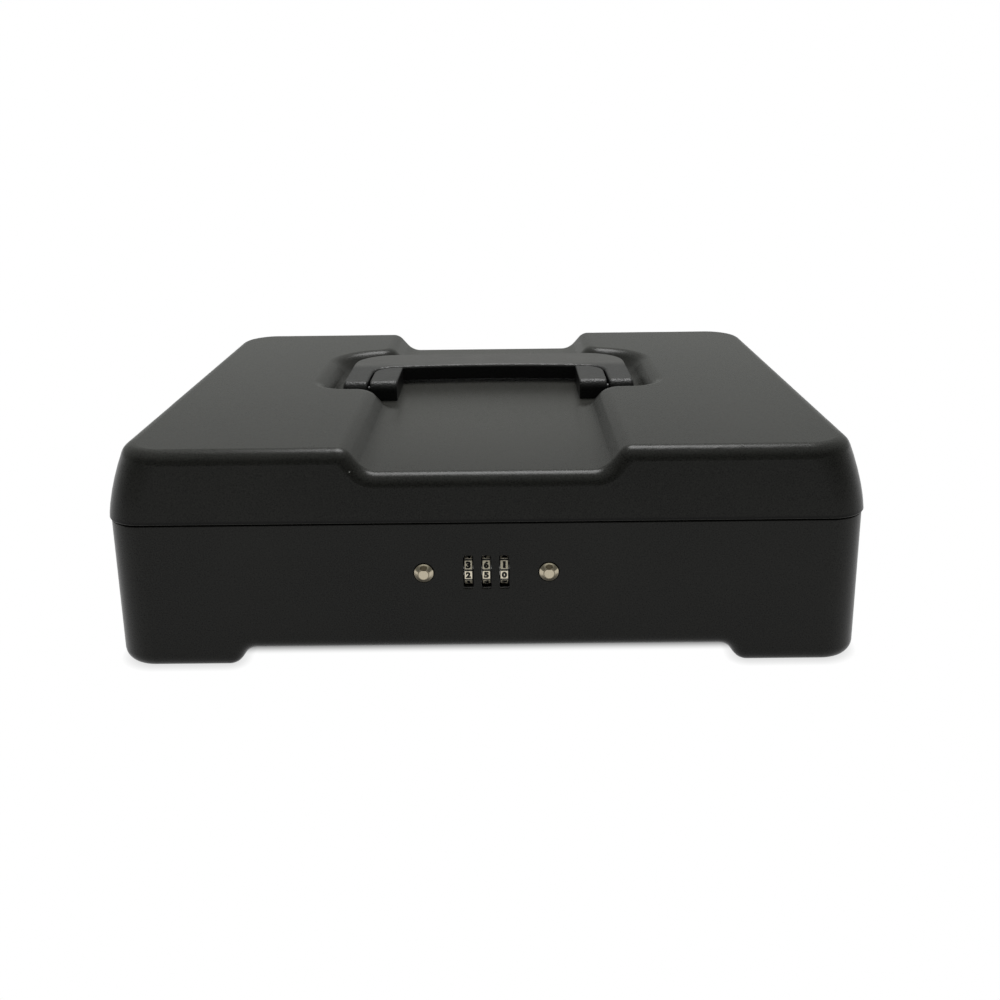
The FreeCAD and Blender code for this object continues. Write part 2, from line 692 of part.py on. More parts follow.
def lug_right():
    """A fixed block inside a handle corner that holds the pivot pin, with a round nose like the arm's."""
    top = BOX_HEIGHT - LUG_TOP_DROP
    block = box((LUG_INNER, LUG_OUTER), (HANDLE_FRONT, LUG_BACK), (LID_FLOOR, top))
    corner = [
        e for e in upright_edges(block)
        if e.BoundBox.XMin > LUG_OUTER - SMALL and e.BoundBox.YMin > LUG_BACK - SMALL
    ]
    block = block.makeFillet(HANDLE_INNER_RADIUS - LUG_GAP, corner)
    front = [e for e in block.Edges if e.BoundBox.ZMin > top - SMALL and e.BoundBox.YMax < HANDLE_FRONT + SMALL]
    block = block.makeFillet(LUG_NOSE_RADIUS, front)
    block = block.makeFillet(LUG_EDGE_RADIUS, [e for e in block.Edges if lug_outline(e.BoundBox, top)])
    cutters = [rod_x(PIVOT_RADIUS, (LUG_OUTER - PIVOT_IN_LUG, LUG_OUTER + LUG_GAP), PIVOT_Y, PIVOT_Z)]
    for x, y in lug_screw_places():
        cutters.append(rod_z(LUG_SCREW_RADIUS, x, y, (LID_FLOOR - LUG_GAP, LID_FLOOR + LUG_SCREW_DEPTH)))
    return single(block.cut(cutters))


def lug_screws():
    under = LID_FLOOR - LID_SHEET
    screws = []
    for x, y in lug_screw_places():
        shank = rod_z(LUG_SCREW_RADIUS, x, y, (under, LID_FLOOR + LUG_SCREW_DEPTH))
        head = rod_z(LUG_SCREW_HEAD_RADIUS, x, y, (under - LUG_SCREW_HEAD, under))
        screws += both(single(shank.fuse(head)))
    return Part.makeCompound(screws)


def handle_pin_right():
    return rod_x(PIVOT_RADIUS, (LUG_OUTER - PIVOT_IN_LUG, ARM_INNER + PIVOT_IN_ARM), PIVOT_Y, PIVOT_Z)


def knuckle(x, bore):
    barrel = rod_x(KNUCKLE_RADIUS, x, HINGE_Y, HINGE_Z)
    return barrel.cut(rod_x(bore, (x[0] - PAST, x[1] + PAST), HINGE_Y, HINGE_Z))


def hinge_base_leaf(x):
    """The leaf on the base's back wall, with an outer knuckle at each end."""
    half = HINGE_WIDTH / 2
    y = (BASE_HALF_DEPTH, BASE_HALF_DEPTH + HINGE_SHEET)
    wall_y = (BASE_HALF_DEPTH, HINGE_Y - HINGE_PIN_RADIUS - HINGE_CLEARANCE)
    top = HINGE_Z - LEAF_START
    plate = box((x - half, x + half), y, (top - LEAF_HEIGHT, top))
    pieces = []
    for side in (-1, 1):
        ends = sorted((x + side * half, x + side * (KNUCKLE_WIDTH / 2 + KNUCKLE_GAP)))
        pieces.append(knuckle(ends, HINGE_PIN_RADIUS))
        pieces.append(box(ends, y, (top, HINGE_Z - KNUCKLE_GAP)))
        pieces.append(box(ends, wall_y, (HINGE_Z - KNUCKLE_FOOT, HINGE_Z - KNUCKLE_GAP)))
    leaf = plate.multiFuse(pieces)
    holes = [rod_y(RIVET_RADIUS, rx, (y[0] - SMALL, y[1] + SMALL), BASE_RIVET_Z) for rx, _ in rivet_places(0)]
    return single(leaf.cut(holes + [rod_x(HINGE_PIN_RADIUS, (x - half, x + half), HINGE_Y, HINGE_Z)]))


def hinge_lid_leaf(x):
    """The leaf on the lid's back wall, with the middle knuckle."""
    half = HINGE_WIDTH / 2
    y = (HALF_DEPTH, HALF_DEPTH + HINGE_SHEET)
    low = HINGE_Z + LEAF_START
    plate = box((x - half, x + half), y, (low, low + LEAF_HEIGHT))
    span = (x - KNUCKLE_WIDTH / 2, x + KNUCKLE_WIDTH / 2)
    neck = box(span, y, (HINGE_Z + KNUCKLE_GAP, low))
    holes = [rod_y(RIVET_RADIUS, rx, (y[0] - SMALL, y[1] + SMALL), LID_RIVET_Z) for rx, _ in rivet_places(0)]
    leaf = lean_back(plate.fuse(neck).cut(holes)).fuse(knuckle(span, HINGE_PIN_RADIUS + RUNNING_FIT))
    return single(leaf.cut(rod_x(HINGE_PIN_RADIUS + RUNNING_FIT, span, HINGE_Y, HINGE_Z)))


def hinge_pin(x):
    half = HINGE_WIDTH / 2
    return rod_x(HINGE_PIN_RADIUS, (x - half, x + half), HINGE_Y, HINGE_Z)


def rivet(x, z, inside, outside):
    """A rivet along Y with a domed outer head and a flat inner one."""
    bore = RIVET_RADIUS
    head = RIVET_HEAD_RADIUS
    points = [Vec(0, inside - RIVET_HEAD, 0), Vec(head, inside - RIVET_HEAD, 0), Vec(head, inside, 0)]
    points += [Vec(bore, inside, 0), Vec(bore, outside, 0), Vec(head, outside, 0)]
    edges = [line(a, b) for a, b in zip(points, points[1:])]
    tip = Vec(0, outside + RIVET_HEAD, 0)
    ball = (head ** 2 + RIVET_HEAD ** 2) / (2 * RIVET_HEAD)
    half_angle = math.asin(head / ball) / 2
    middle = Vec(ball * math.sin(half_angle), tip.y - ball * (1 - math.cos(half_angle)), 0)
    edges.append(Part.Arc(points[-1], middle, tip).toShape())
    edges.append(line(tip, points[0]))
    solid = Part.Face(Part.Wire(edges)).revolve(CENTRE, BACK, 360)
    solid.translate(Vec(x, 0, z))
    return solid


def hinge_base_rivets():
    inside = BASE_HALF_DEPTH - BASE_SHEET
    outside = BASE_HALF_DEPTH + HINGE_SHEET
    return Part.makeCompound([rivet(x, z, inside, outside) for x, z in rivet_places(BASE_RIVET_Z)])


def hinge_lid_rivets():
    inside = HALF_DEPTH - LID_WALL
    outside = HALF_DEPTH + HINGE_SHEET
    return Part.makeCompound([lean_back(rivet(x, z, inside, outside)) for x, z in rivet_places(LID_RIVET_Z)])


def dial(x):
    """A ten-sided number wheel with a thin web that has one keyway."""
    turn = 360 / DIAL_FACES
    corners = [polar(CENTRE, DIAL_RADIUS, turn * (k + 0.5) - DIAL_REST_TURN) for k in range(DIAL_FACES)]
    wheel = Part.Face(Part.makePolygon(corners + corners[:1])).extrude(UP * DIAL_WIDTH)
    notches = [
        Part.makeCylinder(DIAL_NOTCH_RADIUS, DIAL_WIDTH, c * (1 + DIAL_NOTCH_RADIUS / DIAL_RADIUS / 3))
        for c in corners
    ]
    recess = (DIAL_WIDTH - DIAL_WEB) / 2
    bores = [
        Part.makeCylinder(DIAL_HUB_RADIUS, recess),
        Part.makeCylinder(DIAL_HUB_RADIUS, recess, Vec(0, 0, DIAL_WIDTH - recess)),
        Part.makeCylinder(SPINDLE_RADIUS + RUNNING_FIT, DIAL_WIDTH),
    ]
    half = FIN_WIDTH / 2 + KEYWAY_CLEARANCE
    keyway = box((0, FIN_RADIUS + KEYWAY_CLEARANCE), (-half, half), (0, DIAL_WIDTH))
    wheel = wheel.cut(notches + bores + [keyway])
    wheel.rotate(CENTRE, BACK, 90)
    wheel.translate(Vec(x - DIAL_WIDTH / 2, DIAL_Y, LOCK_Z))
    return single(wheel)


def lock_spindle():
    """The spindle, with one fin for each dial, standing left of the dial webs."""
    end = BAR_EAR_X + BAR_SHEET / 2
    shaft = rod_x(SPINDLE_RADIUS, (-end, end), DIAL_Y, LOCK_Z)
    fins = []
    for x in dial_centres():
        right = x - DIAL_WEB / 2 - FIN_GAP
        half = FIN_WIDTH / 2
        fins.append(box((right - FIN, right), (DIAL_Y - half, DIAL_Y + half), (LOCK_Z - FIN_RADIUS, LOCK_Z)))
    return single(shaft.multiFuse(fins))


def slant_slot(x):
    """A slot at 45 degrees that a button's cross pin moves the bar with."""
    radius = BUTTON_PIN_RADIUS + RUNNING_FIT
    z = (PLATE_LOW - SMALL, PLATE_TOP + SMALL)
    length = STROKE * math.sqrt(2)
    ends = [rod_z(radius, 0, 0, z), rod_z(radius, length, 0, z), box((0, length), (-radius, radius), z)]
    slot = ends[0].multiFuse(ends[1:])
    slot.rotate(CENTRE, UP, 135)
    slot.translate(Vec(x, BUTTON_PIN_Y, 0))
    return slot


def latch_nose(tip):
    """An upright stem with a finger that points right and ends at a given X."""
    y = (LATCH_Y - NOSE_WIDTH / 2, LATCH_Y + NOSE_WIDTH / 2)
    top = LOCK_Z + NOSE_HEIGHT / 2
    finger = box((tip - NOSE_LENGTH, tip), y, (top - NOSE_HEIGHT, top))
    stem = box((tip - NOSE_LENGTH, tip - STROKE), y, (PLATE_LOW, top))
    return finger.fuse(stem)


def lock_bar():
    """The sliding plate: two latch noses, two ears on the spindle, and two slanted slots."""
    left_tip = -LATCH_X - NOSE_REST
    right_tip = LATCH_X - NOSE_REST
    front = DIAL_Y - BAR_EAR_WIDTH / 2
    back = COVER_FRONT - CASE_WALL
    plate = box((left_tip - NOSE_LENGTH, right_tip), (front, back), (PLATE_LOW, PLATE_TOP))
    pieces = [latch_nose(left_tip), latch_nose(right_tip)]
    for x in (-BAR_EAR_X, BAR_EAR_X):
        span = (x - BAR_SHEET / 2, x + BAR_SHEET / 2)
        pieces.append(box(span, (front, front + BAR_EAR_WIDTH), (PLATE_LOW, LOCK_Z + BAR_EAR_ABOVE)))
    tab = (SPRING_START_X - SPRING_TAB, SPRING_START_X)
    reach = SPRING_RADIUS + SPRING_WIRE / 2
    pieces.append(box(tab, (SPRING_Y - reach, SPRING_Y + reach), (PLATE_LOW, PLATE_TOP + SPRING_TAB_HEIGHT)))
    cutters = [slant_slot(-BUTTON_X), slant_slot(BUTTON_X)]
    cutters.append(rod_x(SPINDLE_RADIUS, (-CASE_HALF, CASE_HALF), DIAL_Y, LOCK_Z))
    return single(plate.multiFuse(pieces).cut(cutters))


def lock_spring():
    """A coil in quarter-turn arcs from the bar's tab to the cover's lug."""
    steps = 4 * SPRING_TURNS
    start = SPRING_START_X + SPRING_WIRE / 2
    travel = SPRING_LENGTH - SPRING_WIRE

    def at(quarter):
        angle = quarter * math.pi / 2
        y = SPRING_Y + SPRING_RADIUS * math.cos(angle)
        z = SPRING_Z + SPRING_RADIUS * math.sin(angle)
        return Vec(start + travel * quarter / steps, y, z)

    arcs = [Part.Arc(at(k), at(k + 0.5), at(k + 1)).toShape() for k in range(steps)]
    first = arcs[0]
    ring = Part.Circle(at(0), first.tangentAt(first.FirstParameter), SPRING_WIRE / 2).toShape()
    sweep = Part.BRepOffsetAPI.MakePipeShell(Part.Wire(arcs))
    sweep.add(Part.Wire([ring]))
    sweep.build()
    sweep.makeSolid()
    print("lock_spring gap between turns", round(travel / SPRING_TURNS - SPRING_WIRE, 2))
    return sweep.shape()


def button(x):
    """A push button: conical head with a raised flat face, shank and the cross hole of its pin."""
    rim = FRONT - BUTTON_RIM_PROUD
    cone_front = HEAD_FRONT + BUTTON_FACE_STEP
    head = rod_y(BUTTON_RADIUS, x, (rim, HEAD_BACK), LOCK_Z)
    cone = Part.makeCone(BUTTON_RADIUS, BUTTON_CONE_RADIUS, rim - cone_front, Vec(x, rim, LOCK_Z), -BACK)
    face = rod_y(BUTTON_FACE_RADIUS, x, (HEAD_FRONT, cone_front), LOCK_Z)
    shank = rod_y(SHANK_RADIUS, x, (HEAD_BACK, SHANK_BACK), LOCK_Z)
    hole = rod_z(BUTTON_PIN_RADIUS, x, BUTTON_PIN_Y, (LOCK_Z - PAST, LOCK_Z))
    return single(head.multiFuse([cone, face, shank]).cut(hole))


def button_pin(x):
    return rod_z(BUTTON_PIN_RADIUS, x, BUTTON_PIN_Y, (PLATE_LOW, LOCK_Z))


def catch_tongue_right():
    """A bent plate under the lid's channel that hangs into the lock, with a window for the nose."""
    x = (LATCH_X - TONGUE_SHEET / 2, LATCH_X + TONGUE_SHEET / 2)
    high = LID_FLOOR - LID_SHEET
    front = LATCH_Y - TONGUE_WIDTH / 2
    back = LATCH_Y + TONGUE_WIDTH / 2
    tip = LOCK_Z - TONGUE_BELOW_LOCK
    flat = front + TONGUE_CORNER
    plate = prism_x([(front, high - TONGUE_CORNER), (flat, high), (back, high), (back, tip), (front, tip)], x)
    tab = box((x[0] - TONGUE_TAB_WIDTH, x[1]), (flat, back), (high - TONGUE_SHEET, high))
    side = NOSE_WIDTH / 2 + WINDOW_CLEARANCE
    rise = NOSE_HEIGHT / 2 + WINDOW_CLEARANCE
    window = box((x[0] - SMALL, x[1] + SMALL), (LATCH_Y - side, LATCH_Y + side), (LOCK_Z - rise, LOCK_Z + rise))
    return single(plate.fuse(tab).cut(window))


def lock_case():
    """The case behind the front wall: ribs carry the spindle, and guides carry the buttons."""
    wide = CASE_HALF + CASE_WALL
    inside_y = (CASE_FRONT_INSIDE, COVER_FRONT)
    shell = box((-wide, wide), (FRONT_INSIDE, COVER_FRONT), (CASE_LOW - CASE_WALL, CASE_HIGH + CASE_WALL))
    hollow = box((-CASE_HALF, CASE_HALF), (CASE_FRONT_INSIDE, COVER_FRONT + PAST), (CASE_LOW, CASE_HIGH))
    case = shell.cut(hollow)
    rib_y = (CASE_FRONT_INSIDE, DIAL_Y + RIB_REACH)
    rib_z = (PLATE_TOP + DIAL_CLEARANCE, CASE_HIGH)
    half = DIAL_WIDTH / 2 + DIVIDER_GAP
    ribs = []
    for x in (-DIAL_PITCH, 0):
        ribs.append(box((x + half, x + DIAL_PITCH - half), rib_y, rib_z))
    end = DIAL_PITCH + DIAL_WIDTH / 2 + 2 * DIVIDER_GAP
    ribs += both(box((end, end + END_WALL), rib_y, rib_z))
    guide = SHANK_RADIUS + GUIDE_WALL
    guide_y = (GUIDE_FRONT, GUIDE_FRONT + GUIDE)
    ribs += both(box((BUTTON_X - guide, BUTTON_X + guide), guide_y, rib_z))
    ribs += both(rod_y(POST_RADIUS, POST_X, inside_y, POST_Z))
    ear_y = (FRONT_INSIDE, FRONT_INSIDE + CASE_WALL)
    ear_z = (LOCK_Z - CASE_EAR_HEIGHT / 2, LOCK_Z + CASE_EAR_HEIGHT / 2)
    ribs += both(box((CASE_HALF, wide + CASE_EAR_WIDTH), ear_y, ear_z))
    case = case.multiFuse(ribs)
    long_bore = rod_x(SPINDLE_RADIUS + RUNNING_FIT, (-end - PAST, end + PAST), DIAL_Y, LOCK_Z)
    fin_bore = rod_x(FIN_RADIUS + KEYWAY_CLEARANCE, (-end, end), DIAL_Y, LOCK_Z)
    wall = (FRONT_INSIDE - PAST, CASE_FRONT_INSIDE + SMALL)
    cutters = [long_bore, fin_bore] + dial_slots(wall) + button_holes(wall)
    cutters += both(rod_y(SHANK_RADIUS + RUNNING_FIT, BUTTON_X, guide_y, LOCK_Z))
    cutters += both(rod_y(STUD_RADIUS + STUD_CLEARANCE, STUD_X, ear_y, LOCK_Z))
    cutters += both(rod_y(COVER_SCREW_RADIUS, POST_X, (COVER_FRONT - COVER_SCREW_DEPTH, COVER_FRONT), POST_Z))
    side = TONGUE_SHEET / 2 + TONGUE_SLOT_SIDE
    slot_y = (
        LATCH_Y - TONGUE_WIDTH / 2 - TONGUE_SLOT_FRONT,
        LATCH_Y + TONGUE_WIDTH / 2 + TONGUE_SLOT_BACK,
    )
    slot_z = (CASE_HIGH - SMALL, CASE_HIGH + CASE_WALL + SMALL)
    cutters += both(box((LATCH_X - side, LATCH_X + side), slot_y, slot_z))
    return single(case.cut(cutters))


def lock_cover():
    """The case's back plate, with the lug that the spring bears on."""
    wide = CASE_HALF + CASE_WALL
    plate = box((-wide, wide), (COVER_FRONT, COVER_BACK), (CASE_LOW - CASE_WALL, CASE_HIGH + CASE_WALL))
    lug_x = SPRING_START_X + SPRING_LENGTH
    reach = SPRING_RADIUS + SPRING_WIRE / 2
    lug = box(
        (lug_x, lug_x + SPRING_LUG),
        (SPRING_Y - reach, COVER_FRONT),
        (PLATE_TOP + SLIDE_GAP, PLATE_TOP + SPRING_TAB_HEIGHT),
    )
    holes = both(rod_y(COVER_SCREW_RADIUS, POST_X, (COVER_FRONT - SMALL, COVER_BACK + SMALL), POST_Z))
    return single(plate.fuse(lug).cut(holes))


def cover_screws():
    shank = rod_y(COVER_SCREW_RADIUS, POST_X, (COVER_FRONT - COVER_SCREW_DEPTH, COVER_BACK), POST_Z)
    head = rod_y(COVER_SCREW_HEAD_RADIUS, POST_X, (COVER_BACK, COVER_BACK + COVER_SCREW_HEAD), POST_Z)
    return Part.makeCompound(both(single(shank.fuse(head))))


def case_studs():
    return Part.makeCompound(both(rod_y(STUD_RADIUS, STUD_X, (FRONT_INSIDE, FRONT_INSIDE + STUD_LENGTH), LOCK_Z)))


def case_nuts():
    start = FRONT_INSIDE + CASE_WALL
    corners = [polar(CENTRE, NUT_FLATS / math.sqrt(3), 60 * k) for k in range(6)]
    nut = Part.Face(Part.makePolygon(corners + corners[:1])).extrude(UP * NUT_HEIGHT)
    nut.rotate(CENTRE, RIGHT, -90)
    nut.translate(Vec(STUD_X, start, LOCK_Z))
    nut = nut.cut(rod_y(STUD_RADIUS, STUD_X, (start, start + NUT_HEIGHT), LOCK_Z))
    return Part.makeCompound(both(single(nut)))


def dial_detent():
    """A leaf spring on the case's roof, with one finger behind each dial."""
    end = DIAL_PITCH + DETENT_FINGER / 2
    strip = box((-end, end), (DETENT_Y, DETENT_Y + DETENT_STRIP), (CASE_HIGH - DETENT_SHEET, CASE_HIGH))
    fingers = []
    for x in dial_centres():
        span = (x - DETENT_FINGER / 2, x + DETENT_FINGER / 2)
        fingers.append(box(span, (DETENT_Y, DETENT_Y + DETENT_SHEET), (LOCK_Z - DETENT_DROP, CASE_HIGH)))
    return single(strip.multiFuse(fingers))


def coin_tray():
    """The lift-out tray: coin cups in front, larger bays behind, and a flange all round."""
    middle = (TRAY_FRONT + TRAY_BACK) / 2
    half_y = (TRAY_BACK - TRAY_FRONT) / 2
    body = rounded_block(TRAY_HALF, half_y, TRAY_CORNER_RADIUS, TRAY_LOW, TRAY_TOP)
    flange = rounded_block(
        TRAY_HALF + TRAY_FLANGE, half_y + TRAY_FLANGE, TRAY_CORNER_RADIUS + TRAY_FLANGE, REST_TOP, TRAY_TOP
    )
    body = body.fuse(flange)
    body.translate(Vec(0, middle, 0))
    cups_front = TRAY_FRONT + TRAY_WALL
    rows = [
        (CUP_COUNT, cups_front, cups_front + CUP_DEPTH),
        (BAY_COUNT, cups_front + CUP_DEPTH + TRAY_WALL, TRAY_BACK - TRAY_WALL),
    ]
    hollows = []
    for count, front, back in rows:
        pitch = (2 * TRAY_HALF - TRAY_WALL) / count
        for k in range(count):
            left = -TRAY_HALF + TRAY_WALL + pitch * k
            hollow = box((left, left + pitch - TRAY_WALL), (front, back), (TRAY_LOW + TRAY_FLOOR, TRAY_TOP + CUP_RADIUS))
            soft = [e for e in hollow.Edges if e.BoundBox.ZMin < TRAY_TOP]
            hollows.append(hollow.makeFillet(CUP_RADIUS, soft))
    return single(body.cut(hollows))


def tray_rest_right():
    """An angle on the base's side wall under the tray's flange."""
    wall = BASE_HALF_WIDTH - BASE_SHEET
    inner = TRAY_HALF + REST_REACH
    half = REST_LENGTH / 2
    middle = (TRAY_FRONT + TRAY_BACK) / 2
    y = (middle - half, middle + half)
    ledge = box((inner, wall), y, (REST_TOP - REST_SHEET, REST_TOP))
    leg = box((wall - REST_SHEET, wall), y, (REST_TOP - REST_HEIGHT, REST_TOP))
    return single(ledge.fuse(leg))


def save(node, shape):
    shape.exportStep("parts/" + node + ".step")
    print(node, shape.isValid(), len(shape.Solids), round(shape.Volume, 2))


def save_pair(node, shape):
    """A right-hand piece and its left-hand one, which is mirrored."""
    save(node + "_right", shape)
    save(node + "_left", mirrored(shape))


def main():
    os.makedirs("parts", exist_ok=True)
    save("base_pan", base_pan())
    save("lid_shell", lid_shell())
    save("handle", handle())
    save_pair("handle_lug", lug_right())
    save_pair("handle_pin", handle_pin_right())
    save("lug_screws", lug_screws())
    for side, x in zip(("left", "right"), hinge_centres()):
        save("hinge_base_leaf_" + side, hinge_base_leaf(x))
        save("hinge_lid_leaf_" + side, hinge_lid_leaf(x))
        save("hinge_pin_" + side, hinge_pin(x))
    save("hinge_base_rivets", hinge_base_rivets())
    save("hinge_lid_rivets", hinge_lid_rivets())
    for side, x in zip(("left", "middle", "right"), dial_centres()):
        save("dial_" + side, dial(x))
    save("lock_spindle", lock_spindle())
    save("lock_bar", lock_bar())
    save("lock_spring", lock_spring())
    for side, x in zip(("left", "right"), (-BUTTON_X, BUTTON_X)):
        save("button_" + side, button(x))
        save("button_pin_" + side, button_pin(x))
    save_pair("catch_tongue", catch_tongue_right())
    save("lock_case", lock_case())
    save("lock_cover", lock_cover())
    save("cover_screws", cover_screws())
    save("case_studs", case_studs())
    save("case_nuts", case_nuts())
    save("dial_detent", dial_detent())
    save("coin_tray", coin_tray())
    save_pair("tray_rest", tray_rest_right())


main()
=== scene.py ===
"""Looks of a steel cash box: finishes, dial numbers, lock fasteners, spring and a white studio."""

import json
import logging
import math
from dataclasses import dataclass, field
from enum import Enum
from typing import Any, Iterable, Optional, Sequence, Union

import bmesh
import bpy
from mathutils import Matrix, Vector

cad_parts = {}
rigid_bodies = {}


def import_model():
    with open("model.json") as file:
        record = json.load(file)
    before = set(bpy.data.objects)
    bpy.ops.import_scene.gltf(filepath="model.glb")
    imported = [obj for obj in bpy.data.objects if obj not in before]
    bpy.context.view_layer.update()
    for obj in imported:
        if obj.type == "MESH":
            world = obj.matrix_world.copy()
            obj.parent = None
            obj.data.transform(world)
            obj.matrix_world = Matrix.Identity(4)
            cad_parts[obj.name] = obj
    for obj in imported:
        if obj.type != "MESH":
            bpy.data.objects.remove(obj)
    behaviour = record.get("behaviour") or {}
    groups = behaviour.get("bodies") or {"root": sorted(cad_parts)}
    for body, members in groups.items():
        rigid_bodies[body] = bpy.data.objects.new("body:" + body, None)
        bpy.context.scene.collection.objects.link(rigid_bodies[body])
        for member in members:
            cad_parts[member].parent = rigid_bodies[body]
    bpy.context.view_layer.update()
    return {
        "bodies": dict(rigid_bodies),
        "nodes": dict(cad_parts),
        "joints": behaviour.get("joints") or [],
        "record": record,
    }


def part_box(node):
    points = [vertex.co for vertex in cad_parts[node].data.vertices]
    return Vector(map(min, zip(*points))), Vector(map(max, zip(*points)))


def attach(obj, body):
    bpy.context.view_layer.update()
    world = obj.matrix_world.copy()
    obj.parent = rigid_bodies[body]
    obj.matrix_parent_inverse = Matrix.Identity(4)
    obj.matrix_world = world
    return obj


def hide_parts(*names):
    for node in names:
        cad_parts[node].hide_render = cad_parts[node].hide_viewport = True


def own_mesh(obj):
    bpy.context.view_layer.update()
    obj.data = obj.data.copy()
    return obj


LOG = logging.getLogger("cash_box")
MM = 0.001
DIAL_FLATS = 10
DIAL_REST_TURN = 10.5

Colour = tuple[float, float, float, float]
Input = Union["Wire", float, Sequence[float]]


def grey(level: float) -> Colour:
    """A linear grey."""
    return (level, level, level, 1.0)


def scaled(colour: Colour, factor: float) -> Colour:
    """A lighter or darker colour of the same hue."""
    return (factor * colour[0], factor * colour[1], factor * colour[2], 1.0)


class Wire:
    """One output socket of a shader tree, which Python's operators add Math nodes to."""

    def __init__(self, graph: "Graph", socket: bpy.types.NodeSocket) -> None:
        """Keeps the socket and the tree that it belongs to."""
        self.graph = graph
        self.socket = socket

    def __add__(self, other: Input) -> "Wire":
        """The sum of two values."""
        return self.graph.math("ADD", self, other)

    def __radd__(self, other: Input) -> "Wire":
        """The sum of a number and a value."""
        return self.graph.math("ADD", other, self)

    def __sub__(self, other: Input) -> "Wire":
        """The difference of two values."""
        return self.graph.math("SUBTRACT", self, other)

    def __rsub__(self, other: Input) -> "Wire":
        """A number less a value."""
        return self.graph.math("SUBTRACT", other, self)

    def __mul__(self, other: Input) -> "Wire":
        """The product of two values."""
        return self.graph.math("MULTIPLY", self, other)

    def __rmul__(self, other: Input) -> "Wire":
        """The product of a number and a value."""
        return self.graph.math("MULTIPLY", other, self)

    def __truediv__(self, other: Input) -> "Wire":
        """The quotient of two values."""
        return self.graph.math("DIVIDE", self, other)

    def __pow__(self, other: Input) -> "Wire":
        """A value raised to a power."""
        return self.graph.math("POWER", self, other)


class Graph:
    """A shader tree that is built from Python expressions."""

    def __init__(self, tree: bpy.types.NodeTree) -> None:
        """Empties the tree and keeps it."""
        self.tree = tree
        tree.nodes.clear()

    def add(
        self, kind: str, settings: Optional[dict[str, Any]] = None, sockets: Optional[dict[Any, Input]] = None
    ) -> bpy.types.Node:
        """Adds any node.

        Args:
            kind: The node's type name.
            settings: Its properties, which are set first.
            sockets: Values or wires for its inputs, by name or number.

        Returns:
            The node.
        """
        node = self.tree.nodes.new(kind)
        for name, value in (settings or {}).items():
            setattr(node, name, value)
        for name, value in (sockets or {}).items():
            if isinstance(value, Wire):
                self.tree.links.new(value.socket, node.inputs[name])
            else:
                node.inputs[name].default_value = value
        return node

    def wire(
        self, kind: str, output: Any, settings: Optional[dict[str, Any]] = None, **sockets: Input
    ) -> Wire:
        """Adds a node and gives one of its outputs; socket names have _ for a space."""
        named = {name.replace("_", " "): value for name, value in sockets.items()}
        return Wire(self, self.add(kind, settings, named).outputs[output])

    def math(self, operation: str, *values: Input) -> Wire:
        """The result of a Math node."""
        node = self.add("ShaderNodeMath", {"operation": operation}, dict(enumerate(values)))
        return Wire(self, node.outputs[0])

    def step(self, value: Input, low: float, high: float) -> Wire:
        """A smooth step between two values.

        Args:
            value: What is compared.
            low: Where the step is 0.
            high: Where it is 1, above or below the other.

        Returns:
            0 on the far side of low, and 1 on the far side of high.
        """
        settings = {"interpolation_type": "SMOOTHSTEP"}
        if low < high:
            return self.wire("ShaderNodeMapRange", 0, settings, Value=value, From_Min=low, From_Max=high)
        return 1 - self.wire("ShaderNodeMapRange", 0, settings, Value=value, From_Min=high, From_Max=low)

    def place(self, output: str = "Object") -> Wire:
        """A texture coordinate of the piece."""
        return self.wire("ShaderNodeTexCoord", output)

    def axes(self, vector: Wire) -> tuple[Wire, Wire, Wire]:
        """The three parts of a vector."""
        node = self.add("ShaderNodeSeparateXYZ", None, {"Vector": vector})
        return Wire(self, node.outputs[0]), Wire(self, node.outputs[1]), Wire(self, node.outputs[2])

    def stretched(self, vector: Wire, scale: Sequence[float]) -> Wire:
        """A coordinate that is scaled along each axis."""
        return self.wire("ShaderNodeMapping", 0, Vector=vector, Scale=scale)

    def noise(self, vector: Wire, size: float, detail: float = 2.0, rough: float = 0.5) -> Wire:
        """Cloudy noise from 0 to 1 with patches of about the given size in metres."""
        return self.wire(
            "ShaderNodeTexNoise", 0, Vector=vector, Scale=1 / size, Detail=detail, Roughness=rough
        )

    def specks(self, vector: Wire, spacing: float, radius: float, share: float) -> Wire:
        """Round specks, one in each chosen cell of a grid of random points.

        Args:
            vector: The coordinate.
            spacing: The cells' size in metres.
            radius: A speck's radius in metres.
            share: How many of the cells have one.

        Returns:
            1 inside a speck.
        """
        cells = self.add("ShaderNodeTexVoronoi", None, {"Vector": vector, "Scale": 1 / spacing})
        near = self.step(Wire(self, cells.outputs["Distance"]), radius / spacing, 0.5 * radius / spacing)
        pick, size, _ = self.axes(Wire(self, cells.outputs["Color"]))
        return near * self.math("LESS_THAN", pick, share) * size

    def mix(self, factor: Input, first: Input, second: Input) -> Wire:
        """A colour between two others."""
        node = self.add("ShaderNodeMix", {"data_type": "RGBA"}, {0: factor, 6: first, 7: second})
        return Wire(self, node.outputs[2])

    def bump(self, height: Wire, distance: float, normal: Optional[Wire] = None) -> Wire:
        """Tilts the surface by a height.

        Args:
            height: The height, from 0 to 1.
            distance: What its full range measures, in metres.
            normal: A normal that is tilted already.

        Returns:
            The surface normal.
        """
        sockets: dict[Any, Input] = {"Height": height, "Distance": distance, "Strength": 1.0}
        if normal is not None:
            sockets["Normal"] = normal
        return Wire(self, self.add("ShaderNodeBump", None, sockets).outputs[0])


